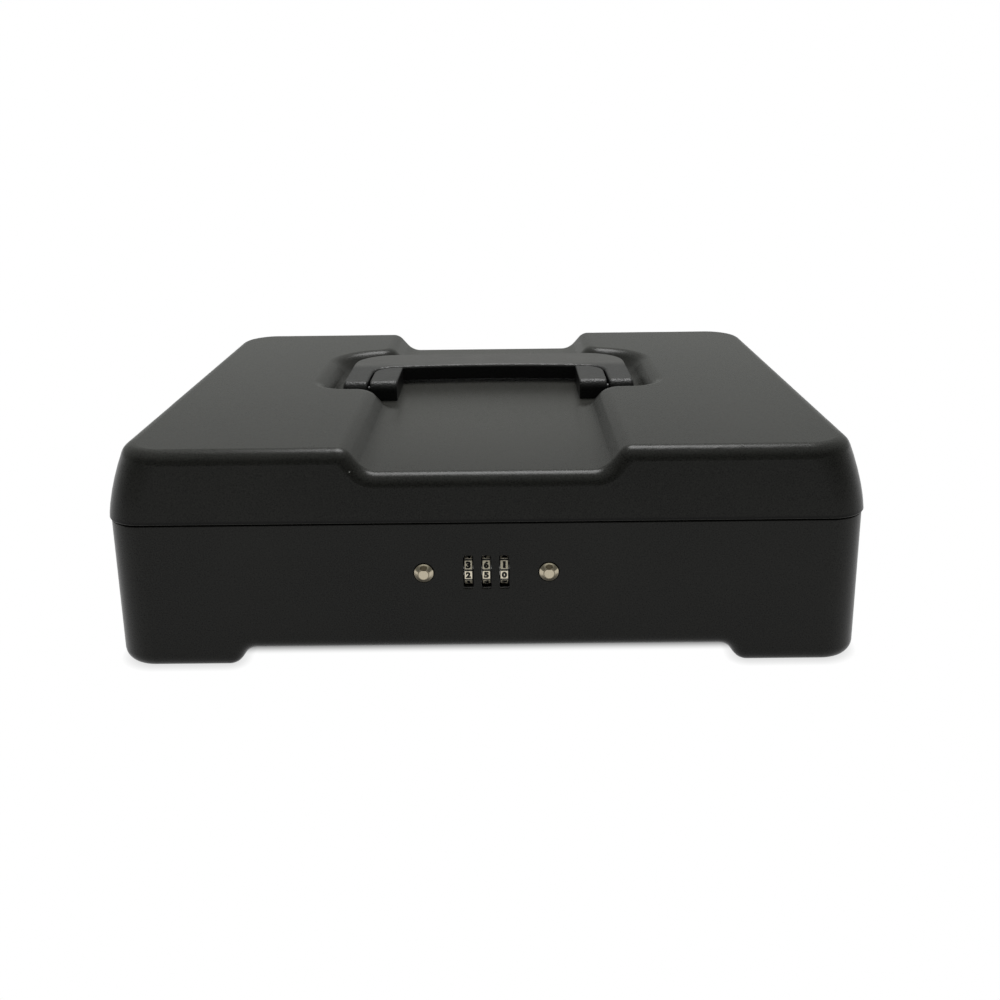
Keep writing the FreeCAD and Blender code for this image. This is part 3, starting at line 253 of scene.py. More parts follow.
@dataclass(frozen=True)
class Finish:
    """A finish of one piece or family of pieces."""

    name: str
    colour: Colour
    roughness: float
    metallic: float = 0.0
    specular: float = 0.5

    def material(self) -> bpy.types.Material:
        """Makes the finish's material.

        Returns:
            The material, with its nodes.
        """
        material = bpy.data.materials.new(self.name)
        material.use_nodes = True
        material.diffuse_color = self.colour
        graph = Graph(material.node_tree)
        varied = self.surface(graph)
        fixed = {"Metallic": self.metallic, "Specular IOR Level": self.specular}
        shader = graph.add("ShaderNodeBsdfPrincipled", None, {**fixed, **varied})
        graph.add("ShaderNodeOutputMaterial", None, {"Surface": Wire(graph, shader.outputs[0])})
        return material

    def surface(self, graph: Graph) -> dict[str, Input]:
        """The inputs that vary over the surface, by name."""
        raise NotImplementedError


@dataclass(frozen=True)
class WornSpot:
    """A nick or a worn patch of the coat, or a painted lighter patch that stands in for reflected light, with
    a ragged edge.
    """

    middle: tuple[float, float, float]
    half_size: tuple[float, float, float]
    colour: Colour
    outer: float = 1.5
    inner: float = 1.1


@dataclass(frozen=True)
class PowderCoat(Finish):
    """Fine powder coat with a little dust and worn spots, painted shade and a painted highlight along the
    seam, and a painted lighter patch on the channel floor.
    """

    grain: float = 0.55 * MM
    grain_height: float = 0.035 * MM
    swell: float = 3.5 * MM
    swell_height: float = 0.02 * MM
    cloud: float = 60 * MM
    light: float = 1.6
    dark: float = 0.45
    dust_spacing: float = 11 * MM
    dust_radius: float = 0.26 * MM
    dust_share: float = 0.3
    dust_rise: tuple[float, float] = (77 * MM, 79 * MM)
    dust_colour: Colour = (0.40, 0.40, 0.38, 1.0)
    # Painted shade in a band at the foot of the lid, a painted highlight on its lowest edge, and painted
    # shade in the seam below.
    seam_height: float = 61.5 * MM
    hem_height: float = 1.7 * MM
    hem_edge: float = 0.35 * MM
    hem_wear: Colour = (0.035, 0.034, 0.03, 1.0)
    seam_dirt: float = 0.7 * MM
    seam_black: Colour = (0.0015, 0.0015, 0.0014, 1.0)
    worn_spots: tuple[WornSpot, ...] = ()

    def surface(self, graph: Graph) -> dict[str, Input]:
        """The coat's colour, roughness and grain.

        Args:
            graph: The material's shader tree.

        Returns:
            The shader's inputs that vary, by name.
        """
        place = graph.place()
        grain = graph.noise(place, self.grain, 3.0, 0.6)
        swell = graph.noise(place, self.swell, 1.0)
        cloud = graph.noise(place, self.cloud, 3.0)
        on_top = graph.step(graph.axes(place)[2], *self.dust_rise)
        dust = graph.specks(place, self.dust_spacing, self.dust_radius, self.dust_share) * on_top
        light, dark = scaled(self.colour, self.light), scaled(self.colour, self.dark)
        coat = graph.mix(graph.step(grain * 0.8 + cloud * 0.2, 0.3, 0.7), dark, light)
        colour = graph.mix(dust, self._along_seam(graph, place, coat), self.dust_colour)
        # Nicks and worn patches, and a painted lighter patch on the channel floor.
        for spot in self.worn_spots:
            colour = graph.mix(self._worn(graph, place, grain, spot), colour, spot.colour)
        fine = graph.bump(grain, self.grain_height)
        return {
            "Base Color": colour,
            "Roughness": self.roughness + (grain - 0.5) * 0.14 + (cloud - 0.5) * 0.05 + dust * 0.3,
            "Normal": graph.bump(swell, self.swell_height, fine),
        }

    def _along_seam(self, graph: Graph, place: Wire, coat: Wire) -> Wire:
        """Adds painted shade to a band at the foot of the lid, with a painted highlight on its lowest edge,
        and painted shade in the seam below it on the base.

        Args:
            graph: The material's shader tree.
            place: The coordinate.
            coat: The clean coat's colour.

        Returns:
            The coat's colour.
        """
        above = graph.axes(place)[2] - self.seam_height
        on_lid = graph.math("GREATER_THAN", above, 0.0)
        # Painted shade in a band at the foot of the lid.
        shade = graph.step(above, self.hem_height, 0.4 * self.hem_height) * on_lid * 0.8
        # Painted highlight on the lid's lowest edge.
        rubbed = graph.step(above, self.hem_edge, 0.5 * self.hem_edge) * on_lid
        # Painted shade in the seam just below the lid.
        dirt = graph.step(above, -1.3 * self.seam_dirt, -self.seam_dirt) * (1 - on_lid)
        darkened = graph.mix(graph.math("MAXIMUM", shade, dirt), coat, self.seam_black)
        return graph.mix(rubbed, darkened, self.hem_wear)

    @staticmethod
    def _worn(graph: Graph, place: Wire, grain: Wire, spot: WornSpot) -> Wire:
        """Where a spot lies.

        Args:
            graph: The material's shader tree.
            place: The coordinate.
            grain: The noise that makes its edge ragged.
            spot: The spot.

        Returns:
            1 inside it.
        """
        total: Input = 0.0
        for along, middle, half in zip(graph.axes(place), spot.middle, spot.half_size):
            total = ((along - middle) / half) ** 2 + total
        return graph.step(total + grain * 1.2, spot.outer, spot.inner)


@dataclass(frozen=True)
class MouldedPlastic(Finish):
    """Moulded plastic with a spark-eroded grain."""

    grain: float = 0.5 * MM
    grain_height: float = 0.05 * MM
    cloud: float = 25 * MM
    worn: float = 1.5
    streak: float = 1.5 * MM
    streak_stretch: tuple[float, float, float] = (0.12, 1.0, 1.0)
    rubbed: Optional[tuple[float, float]] = None
    rubbed_rise: tuple[float, float] = (88.0 * MM, 89.3 * MM)
    rubbed_colour: Colour = (0.055, 0.054, 0.051, 1.0)

    def surface(self, graph: Graph) -> dict[str, Input]:
        """The plastic's colour, roughness and grain.

        Args:
            graph: The material's shader tree.

        Returns:
            The shader's inputs that vary, by name.
        """
        place = graph.place()
        cells = graph.wire("ShaderNodeTexVoronoi", "Distance", Vector=place, Scale=1 / self.grain)
        fine = graph.noise(place, self.grain * 0.7, 3.0)
        cloud = graph.noise(place, self.cloud, 3.0)
        worn = scaled(self.colour, self.worn)
        colour = graph.mix(graph.step(fine * 0.6 + cloud * 0.4, 0.42, 0.72), self.colour, worn)
        if self.rubbed:
            colour = graph.mix(self._gripped(graph, place), colour, self.rubbed_colour)
        return {
            "Base Color": colour,
            "Roughness": self.roughness + (cloud - 0.5) * 0.12 + (fine - 0.5) * 0.1,
            "Normal": graph.bump(cells * 0.6 + fine * 0.4, self.grain_height),
        }

    def _gripped(self, graph: Graph, place: Wire) -> Wire:
        """Where the upper side is rubbed grey by a hand, in streaks along X.

        Args:
            graph: The material's shader tree.
            place: The coordinate.

        Returns:
            How far it is rubbed.
        """
        start, full = self.rubbed
        streaks = graph.noise(graph.stretched(place, self.streak_stretch), self.streak, 4.0, 0.6)
        _, depth, height = graph.axes(place)
        upper = graph.step(height, *self.rubbed_rise)
        return graph.step(depth, start, full) * upper * (0.25 + streaks * 0.7)


class Lay(Enum):
    """How the fine marks on a metal are stretched along each axis."""

    ALONG_X = (0.02, 1.0, 1.0)
    EVEN = (1.0, 1.0, 1.0)


@dataclass(frozen=True)
class FaceRing:
    """Painted shade in a turned ring round the faces of two buttons, where they step down to their slope, and
    a darker patch in the upper part of their slope.
    """

    middle_x: float
    middle_z: float
    radius: float
    half_width: float
    patch_up: float
    patch_half: float
    ragged: float = 0.8 * MM

    def dirt(self, graph: Graph, place: Wire) -> Wire:
        """Where the painted shade in the ring and the darker patch lie.

        Args:
            graph: The material's shader tree.
            place: The coordinate.

        Returns:
            1 in the ring and the patch.
        """
        x, _, z = graph.axes(place)
        side, up = graph.math("ABSOLUTE", x) - self.middle_x, z - self.middle_z
        from_ring = graph.math("ABSOLUTE", graph.math("SQRT", side * side + up * up) - self.radius)
        # Painted shade in the ring.
        ring = graph.step(from_ring, self.half_width, 0.3 * self.half_width)
        ragged = graph.noise(place, self.ragged, 3.0) * 0.8
        from_patch = ((up - self.patch_up) / (0.6 * self.patch_half)) ** 2 + (side / self.patch_half) ** 2
        return graph.math("MAXIMUM", ring * 0.75, graph.step(from_patch + ragged, 1.4, 0.9))


@dataclass(frozen=True)
class Metal(Finish):
    """Bare or plated metal with fine marks, stains and scuffs, and on the buttons painted shade in a ring."""

    metallic: float = 1.0
    lay: Lay = Lay.EVEN
    mark: float = 0.12 * MM
    mark_height: float = 0.004 * MM
    cloud: float = 3.5 * MM
    stain: Colour = (0.2, 0.19, 0.17, 1.0)
    stain_share: float = 0.35
    ring: Optional[FaceRing] = None

    def surface(self, graph: Graph) -> dict[str, Input]:
        """The metal's colour, roughness and marks.

        Args:
            graph: The material's shader tree.

        Returns:
            The shader's inputs that vary, by name.
        """
        place = graph.place()
        marks = graph.noise(graph.stretched(place, self.lay.value), self.mark, 2.0)
        cloud = graph.noise(place, self.cloud, 4.0, 0.6)
        stain_and_shade_mask = graph.step(cloud, 0.5, 0.78) * self.stain_share
        # On the buttons, painted shade in a ring and a darker patch, in the stain colour.
        if self.ring:
            stain_and_shade_mask = graph.math("MAXIMUM", stain_and_shade_mask, self.ring.dirt(graph, place))
        return {
            "Base Color": graph.mix(stain_and_shade_mask, self.colour, self.stain),
            "Roughness": self.roughness + (cloud - 0.5) * 0.12 + (marks - 0.5) * 0.1,
            "Normal": graph.bump(marks, self.mark_height),
        }


@dataclass(frozen=True)
class DialFoil(Finish):
    """Satin foil on the flats of the dark dials, with bare grooves and edges."""

    dark: Colour = (0.012, 0.011, 0.010, 1.0)
    dark_roughness: float = 0.45
    axis_y: float = -113.4 * MM
    axis_z: float = 40.5 * MM
    pitch: float = 7.0 * MM
    half_width: float = 1.43 * MM
    edge_blur: float = 0.05 * MM
    flats: int = DIAL_FLATS
    rest_turn: float = DIAL_REST_TURN
    flat_share: float = 0.42
    inner_radius: float = 6.3 * MM
    foil_metal: float = 0.5
    grime: Colour = (0.10, 0.085, 0.06, 1.0)
    rub: float = 0.5 * MM
    mark: float = 0.1 * MM
    mark_height: float = 0.004 * MM

    def surface(self, graph: Graph) -> dict[str, Input]:
        """The dial's colour, roughness and metal.

        Args:
            graph: The material's shader tree.

        Returns:
            The shader's inputs that vary, by name.
        """
        place = graph.place()
        x, y, z = graph.axes(place)
        out, up = self.axis_y - y, z - self.axis_z
        offset = 0.5 - self.rest_turn * self.flats / 360
        turn = graph.math("ARCTAN2", up, out) * (self.flats / math.tau) + offset
        across = graph.math("ABSOLUTE", self._from_whole(graph, turn))
        side = graph.math("ABSOLUTE", self._from_whole(graph, x / self.pitch))
        radius = graph.math("SQRT", out * out + up * up)
        rubbed = graph.noise(place, self.rub, 4.0, 0.65)
        edge = (rubbed - 0.5) * 0.05
        flat = graph.step(across + edge, self.flat_share + 0.01, self.flat_share - 0.02)
        outer, inner = self.half_width + self.edge_blur, self.half_width - self.edge_blur
        inside = graph.step(side, outer / self.pitch, inner / self.pitch)
        foil = flat * inside * graph.math("GREATER_THAN", radius, self.inner_radius)
        marks = graph.noise(graph.stretched(place, Lay.ALONG_X.value), self.mark, 2.0)
        darkened = graph.step(rubbed + (across - 0.3) * 0.8, 0.55, 0.85) * 0.7
        smoother = self.roughness - self.dark_roughness + (marks - 0.5) * 0.15
        return {
            "Base Color": graph.mix(foil, self.dark, graph.mix(darkened, self.colour, self.grime)),
            "Roughness": self.dark_roughness + foil * smoother,
            "Metallic": foil * self.foil_metal,
            "Normal": graph.bump(marks, self.mark_height),
        }

    @staticmethod
    def _from_whole(graph: Graph, value: Wire) -> Wire:
        """How far a value lies from the nearest whole number."""
        return graph.math("FRACT", value + 0.5) - 0.5


@dataclass(frozen=True)
class Casting(Finish):
    """Die-cast metal with a dull, sandy skin."""

    metallic: float = 0.35
    sand: float = 0.6 * MM
    sand_height: float = 0.04 * MM
    flow: float = 9 * MM
    flow_stretch: tuple[float, float, float] = (0.3, 1.0, 1.0)
    dull: float = 0.62

    def surface(self, graph: Graph) -> dict[str, Input]:
        """The casting's colour, roughness and skin.

        Args:
            graph: The material's shader tree.

        Returns:
            The shader's inputs that vary, by name.
        """
        place = graph.place()
        sand = graph.noise(place, self.sand, 4.0, 0.65)
        flow = graph.noise(graph.stretched(place, self.flow_stretch), self.flow, 3.0)
        dull = scaled(self.colour, self.dull)
        return {
            "Base Color": graph.mix(graph.step(flow, 0.35, 0.7), self.colour, dull),
            "Roughness": self.roughness + (sand - 0.5) * 0.25,
            "Normal": graph.bump(sand, self.sand_height),
        }


@dataclass(frozen=True)
class Ink(Finish):
    """Printed ink that is thin in places."""

    patch: float = 0.15 * MM
    patch_height: float = 0.004 * MM
    faded: float = 0.02

    def surface(self, graph: Graph) -> dict[str, Input]:
        """The ink's colour and roughness.

        Args:
            graph: The material's shader tree.

        Returns:
            The shader's inputs that vary, by name.
        """
        place = graph.place()
        thin = graph.noise(place, self.patch, 3.0, 0.6)
        faded = tuple(c + self.faded for c in self.colour[:3]) + (1.0,)
        return {
            "Base Color": graph.mix(graph.step(thin, 0.55, 0.8), self.colour, faded),
            "Roughness": self.roughness + (thin - 0.5) * 0.2,
            "Normal": graph.bump(thin, self.patch_height),
        }


FINISHES: dict[str, Finish] = {
    "charcoal_coat": PowderCoat(
        "charcoal_coat", (0.0150, 0.0150, 0.0135, 1.0), 0.29, specular=0.15,
        worn_spots=(
            WornSpot(
                (11.6 * MM, -119.6 * MM, 79.4 * MM), (2.4 * MM, 3 * MM, 0.4 * MM), (0.17, 0.11, 0.05, 1.0),
            ),
            WornSpot(
                (-51.9 * MM, -119.6 * MM, 81.8 * MM), (0.45 * MM, 3 * MM, 0.4 * MM), (0.5, 0.5, 0.48, 1.0),
            ),
            WornSpot(
                (-50.3 * MM, -119.6 * MM, 81.8 * MM), (0.4 * MM, 3 * MM, 0.4 * MM), (0.5, 0.5, 0.48, 1.0),
            ),
            # Painted light: a broad lighter patch on the channel floor round the handle, where the handle
            # blocks the coat's reflection.
            WornSpot(
                (0, 20 * MM, 80 * MM), (80 * MM, 105 * MM, 4 * MM), (0.027, 0.027, 0.0245, 1.0),
                outer=2.6, inner=0.7,
            ),
        ),
    ),
    "handle_plastic": MouldedPlastic(
        "handle_plastic", grey(0.0010), 0.40, specular=0.28, grain=0.9 * MM, grain_height=0.2 * MM,
        rubbed=(25 * MM, 36 * MM),
    ),
    "tray_plastic": MouldedPlastic("tray_plastic", grey(0.020), 0.42, specular=0.4, grain=0.9 * MM),
    "dial_metal": DialFoil("dial_metal", (0.86, 0.785, 0.62, 1.0), 0.28),
    "button_chrome": Metal(
        "button_chrome", (0.46, 0.41, 0.31, 1.0), 0.17, stain_share=0.3, stain=(0.09, 0.075, 0.05, 1.0),
        # Painted shade in a ring round each face, and a darker patch on the upper slope.
        ring=FaceRing(24.5 * MM, 40.5 * MM, 2.08 * MM, 0.28 * MM, 2.5 * MM, 1.7 * MM),
    ),
    "hinge_black": MouldedPlastic(
        "hinge_black", grey(0.012), 0.38, specular=0.4, grain=0.4 * MM, grain_height=0.02 * MM,
    ),
    "plated_steel": Metal("plated_steel", (0.66, 0.66, 0.64, 1.0), 0.28),
    "spring_steel": Metal("spring_steel", (0.42, 0.41, 0.40, 1.0), 0.24),
    "cast_zinc": Casting("cast_zinc", (0.27, 0.27, 0.28, 1.0), 0.62),
    "dial_ink": Ink("dial_ink", grey(0.004), 0.5, specular=0.2),
}


def shown(
    name: str, shape: bmesh.types.BMesh, material: bpy.types.Material, sharp_degrees: float = 35.0
) -> bpy.types.Object:
    """Turns a finished bmesh into a piece of the scene.

    Args:
        name: The piece's name.
        shape: The bmesh, which is freed.
        material: Its material.
        sharp_degrees: Edges that turn by more than this stay sharp.

    Returns:
        The piece.
    """
    bmesh.ops.recalc_face_normals(shape, faces=shape.faces)
    limit = math.radians(sharp_degrees)
    for face in shape.faces:
        face.smooth = True
    for edge in shape.edges:
        edge.smooth = len(edge.link_faces) == 2 and edge.calc_face_angle(0.0) < limit
    mesh = bpy.data.meshes.new(name)
    shape.to_mesh(mesh)
    shape.free()
    mesh.materials.append(material)
    piece = bpy.data.objects.new(name, mesh)
    bpy.context.scene.collection.objects.link(piece)
    return piece


def joined(shapes: Iterable[bmesh.types.BMesh]) -> bmesh.types.BMesh:
    """Puts several shapes into one.

    Args:
        shapes: The bmeshes, which are freed.

    Returns:
        The one bmesh.
    """
    whole = bmesh.new()
    for shape in shapes:
        mesh = bpy.data.meshes.new("part")
        shape.to_mesh(mesh)
        shape.free()
        whole.from_mesh(mesh)
        bpy.data.meshes.remove(mesh)
    return whole


def merged(shape: bmesh.types.BMesh) -> bmesh.types.BMesh:
    """Merges a shape's doubled points."""
    bmesh.ops.remove_doubles(shape, verts=shape.verts, dist=1e-7)
    return shape


def turned(profile: Sequence[tuple[float, float]], steps: int = 48) -> bmesh.types.BMesh:
    """Spins a profile round the Z axis.

    Args:
        profile: Radius and height of each point, in metres.
        steps: The number of steps in a turn.

    Returns:
        The turned shape.
    """
    shape = bmesh.new()
    points = [shape.verts.new((radius, 0, height)) for radius, height in profile]
    edges = [shape.edges.new(pair) for pair in zip(points, points[1:])]
    bmesh.ops.spin(
        shape, geom=points + edges, cent=(0, 0, 0), axis=(0, 0, 1), angle=math.tau, steps=steps,
        use_merge=True,
    )
    return merged(shape)


@dataclass
class CadDress:
    """Finishes for the solids that are shown as they are."""

    materials: dict[str, bpy.types.Material]

    def dress(self, frame: dict[str, Any]) -> None:
        """Gives each solid the material of its slot.
        """
        for sub in frame["record"]["subparts"]:
            node = frame["nodes"][sub["node"]]
            node.data.materials.clear()
            node.data.materials.append(self.materials[sub["material_slot"]])
            LOG.info("dressed %s in %s", sub["node"], sub["material_slot"])


@dataclass
class DialNumbers:
    """The printed numbers on the flats of the three dials."""

    materials: dict[str, bpy.types.Material]
    flats: int = DIAL_FLATS
    flat_radius: float = 6.515 * MM
    rest_turn: float = DIAL_REST_TURN
    height: float = 2.75 * MM
    width: float = 2.0 * MM
    zero_width: float = 2.1 * MM
    one_width: float = 1.1 * MM
    stroke_gain: float = 0.075
    ink: float = 0.02 * MM
    lower_numbers: dict[str, int] = field(default_factory=lambda: {"left": 2, "middle": 5, "right": 0})

    def build(self) -> None:
        """Makes one piece of ten numbers for each dial."""
        for side, lower in self.lower_numbers.items():
            low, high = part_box("dial_" + side)
            middle = (low + high) / 2
            shapes = []
            for flat in range(self.flats):
                shape = self._number((lower + flat) % self.flats)
                angle = math.radians((flat - 0.5) * 360 / self.flats + self.rest_turn)
                bmesh.ops.transform(shape, matrix=self._onto_flat(middle, angle), verts=shape.verts)
                shapes.append(shape)
            piece = shown("dial_numbers_" + side, joined(shapes), self.materials["dial_ink"])
            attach(piece, "dial_" + side)
            LOG.info("built %s", piece.name)

    def _onto_flat(self, middle: Vector, angle: float) -> Matrix:
        """Where a flat of a dial lies.

        Args:
            middle: The dial's middle.
            angle: How far the flat is turned up from the front, in radians.

        Returns:
            The matrix that puts a number on it.
        """
        out = Vector((0, -math.cos(angle), math.sin(angle)))
        up = Vector((0, math.sin(angle), math.cos(angle)))
        place = Matrix((Vector((1, 0, 0)), up, out)).transposed().to_4x4()
        place.translation = middle + out * self.flat_radius
        return place

    def _number(self, number: int) -> bmesh.types.BMesh:
        """Makes one digit.

        Args:
            number: The digit.

        Returns:
            The digit, flat on XY, centred and of its real size.
        """
        curve = bpy.data.curves.new("digit", "FONT")
        curve.body = str(number)
        curve.offset = self.stroke_gain
        curve.extrude = 0.5
        curve.resolution_u = 4
        text = bpy.data.objects.new("digit", curve)
        bpy.context.scene.collection.objects.link(text)
        bpy.context.view_layer.update()
        mesh = bpy.data.meshes.new_from_object(text)
        bpy.data.objects.remove(text)
        bpy.data.curves.remove(curve)
        shape = bmesh.new()
        shape.from_mesh(mesh)
        bpy.data.meshes.remove(mesh)
        merged(shape)
        corners = [v.co for v in shape.verts]
        low = Vector(min(c[k] for c in corners) for k in range(3))
        high = Vector(max(c[k] for c in corners) for k in range(3))
        size = high - low
        width = {0: self.zero_width, 1: self.one_width}.get(number, self.width)
        bmesh.ops.translate(shape, vec=-(low + high) / 2, verts=shape.verts)
        real = (width / size.x, self.height / size.y, 2 * self.ink / size.z)
        bmesh.ops.scale(shape, vec=real, verts=shape.verts)
        return shape


@dataclass
class CrossScrew:
    """A pan-head screw with a cross recess and a thread, along Z with its head at the top."""

    head_radius: float
    head_height: float
    shank_radius: float
    shank_length: float
    pitch: float = 0.8 * MM
    recess_half: float = 0.18
    recess_reach: float = 0.62
    recess_depth: float = 0.6

    def build(self) -> bmesh.types.BMesh:
        """Makes the screw, with the head's underside at the origin."""
        return joined([self._head(), self._shank()])

    def _head(self) -> bmesh.types.BMesh:
        """The rounded head with its recess."""
        r, h = self.head_radius, self.head_height
        flat = self.recess_reach * 1.25 * r
        profile = [(0, 0), (r * 0.97, 0), (r, 0.06 * h), (r, 0.34 * h)]
        for k in range(1, 9):
            a = k / 8 * math.pi / 2
            profile.append((flat + (r - flat) * math.cos(a), 0.34 * h + 0.66 * h * math.sin(a)))
        shape = turned(profile)
        rim = [e for e in shape.edges if e.is_boundary]
        bmesh.ops.contextual_create(shape, geom=rim)
        half, reach = self.recess_half * r, self.recess_reach * r
        for normal in ((1, 0, 0), (0, 1, 0)):
            for far in (-reach, -half, half, reach):
                top = [f for f in shape.faces if f.normal.z > 0.99 and f.calc_center_median().z > 0.95 * h]
                geom = top + [e for f in top for e in f.edges] + [v for f in top for v in f.verts]
                bmesh.ops.bisect_plane(
                    shape, geom=list(dict.fromkeys(geom)), plane_co=Vector(normal) * far, plane_no=normal
                )
        shape.normal_update()
        cross = []
        for face in shape.faces:
            c = face.calc_center_median()
            inside = max(abs(c.x), abs(c.y)) < reach and min(abs(c.x), abs(c.y)) < half
            if inside and c.z > 0.95 * h:
                cross.append(face)
        sunk = bmesh.ops.extrude_face_region(shape, geom=cross)
        bmesh.ops.delete(shape, geom=cross, context="FACES")
        floor = [v for v in sunk["geom"] if isinstance(v, bmesh.types.BMVert)]
        bmesh.ops.translate(shape, vec=(0, 0, -self.recess_depth * h), verts=floor)
        bmesh.ops.scale(shape, vec=(0.72, 0.72, 1), verts=floor)
        return shape

    def _shank(self) -> bmesh.types.BMesh:
        """The threaded shank below the head."""
        return threaded(self.shank_radius, self.shank_length, self.pitch)


def threaded(radius: float, length: float, pitch: float, steps: int = 24) -> bmesh.types.BMesh:
    """A threaded rod that hangs from the origin along -Z.

    Args:
        radius: The thread's outer radius in metres.
        length: The rod's length.
        pitch: The rise of one turn.
        steps: The steps in a turn.

    Returns:
        The rod, with closed ends.
    """
    root = radius - 0.6 * pitch
    shape = bmesh.new()
    count = int(length / pitch) + 2
    points = []
    for k in range(count):
        points.append(shape.verts.new((root, 0, -pitch * k + pitch)))
        points.append(shape.verts.new((radius, 0, -pitch * (k + 0.4) + pitch)))
        points.append(shape.verts.new((radius, 0, -pitch * (k + 0.6) + pitch)))
    points.append(shape.verts.new((root, 0, -pitch * count + pitch)))
    edges = [shape.edges.new(pair) for pair in zip(points, points[1:])]
    bmesh.ops.spin(
        shape, geom=points + edges, cent=(0, 0, 0), axis=(0, 0, 1), dvec=(0, 0, -pitch / steps),
        angle=math.tau, steps=steps,
    )
    merged(shape)
    for height, outward in ((0.0, 1), (-length, -1)):
        geom = list(shape.verts) + list(shape.edges) + list(shape.faces)
        cut = bmesh.ops.bisect_plane(
            shape, geom=geom, plane_co=(0, 0, height), plane_no=(0, 0, outward), clear_outer=True
        )
        ring = [e for e in cut["geom_cut"] if isinstance(e, bmesh.types.BMEdge)]
        bmesh.ops.contextual_create(shape, geom=ring)
    return shape


@dataclass
class LidScrews:
    """The four screws under the lid that hold the handle's lugs."""

    materials: dict[str, bpy.types.Material]
    head_radius: float = 3.6 * MM
    head_height: float = 2.2 * MM
    shank_radius: float = 2.0 * MM
    pitch: float = 0.9 * MM

    def build(self) -> None:
        """Makes the screws as one piece that stands for the solid ones."""
        low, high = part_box("lug_screws")
        length = high.z - low.z - self.head_height
        shapes = []
        for x in (low.x + self.head_radius, high.x - self.head_radius):
            for k, y in enumerate((low.y + self.head_radius, high.y - self.head_radius)):
                screw = CrossScrew(
                    self.head_radius, self.head_height, self.shank_radius, length, self.pitch
                ).build()
                turn = Matrix.Rotation(math.radians(20 + 35 * k + 9 * (x > 0)), 4, "Z")
                flip = Matrix.Rotation(math.pi, 4, "X")
                spot = Matrix.Translation((x, y, low.z + self.head_height))
                bmesh.ops.transform(screw, matrix=spot @ flip @ turn, verts=screw.verts)
                shapes.append(screw)
        piece = shown("lug_screws_cross", joined(shapes), self.materials["plated_steel"])
        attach(piece, "lid")
        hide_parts("lug_screws")
        LOG.info("built %s", piece.name)


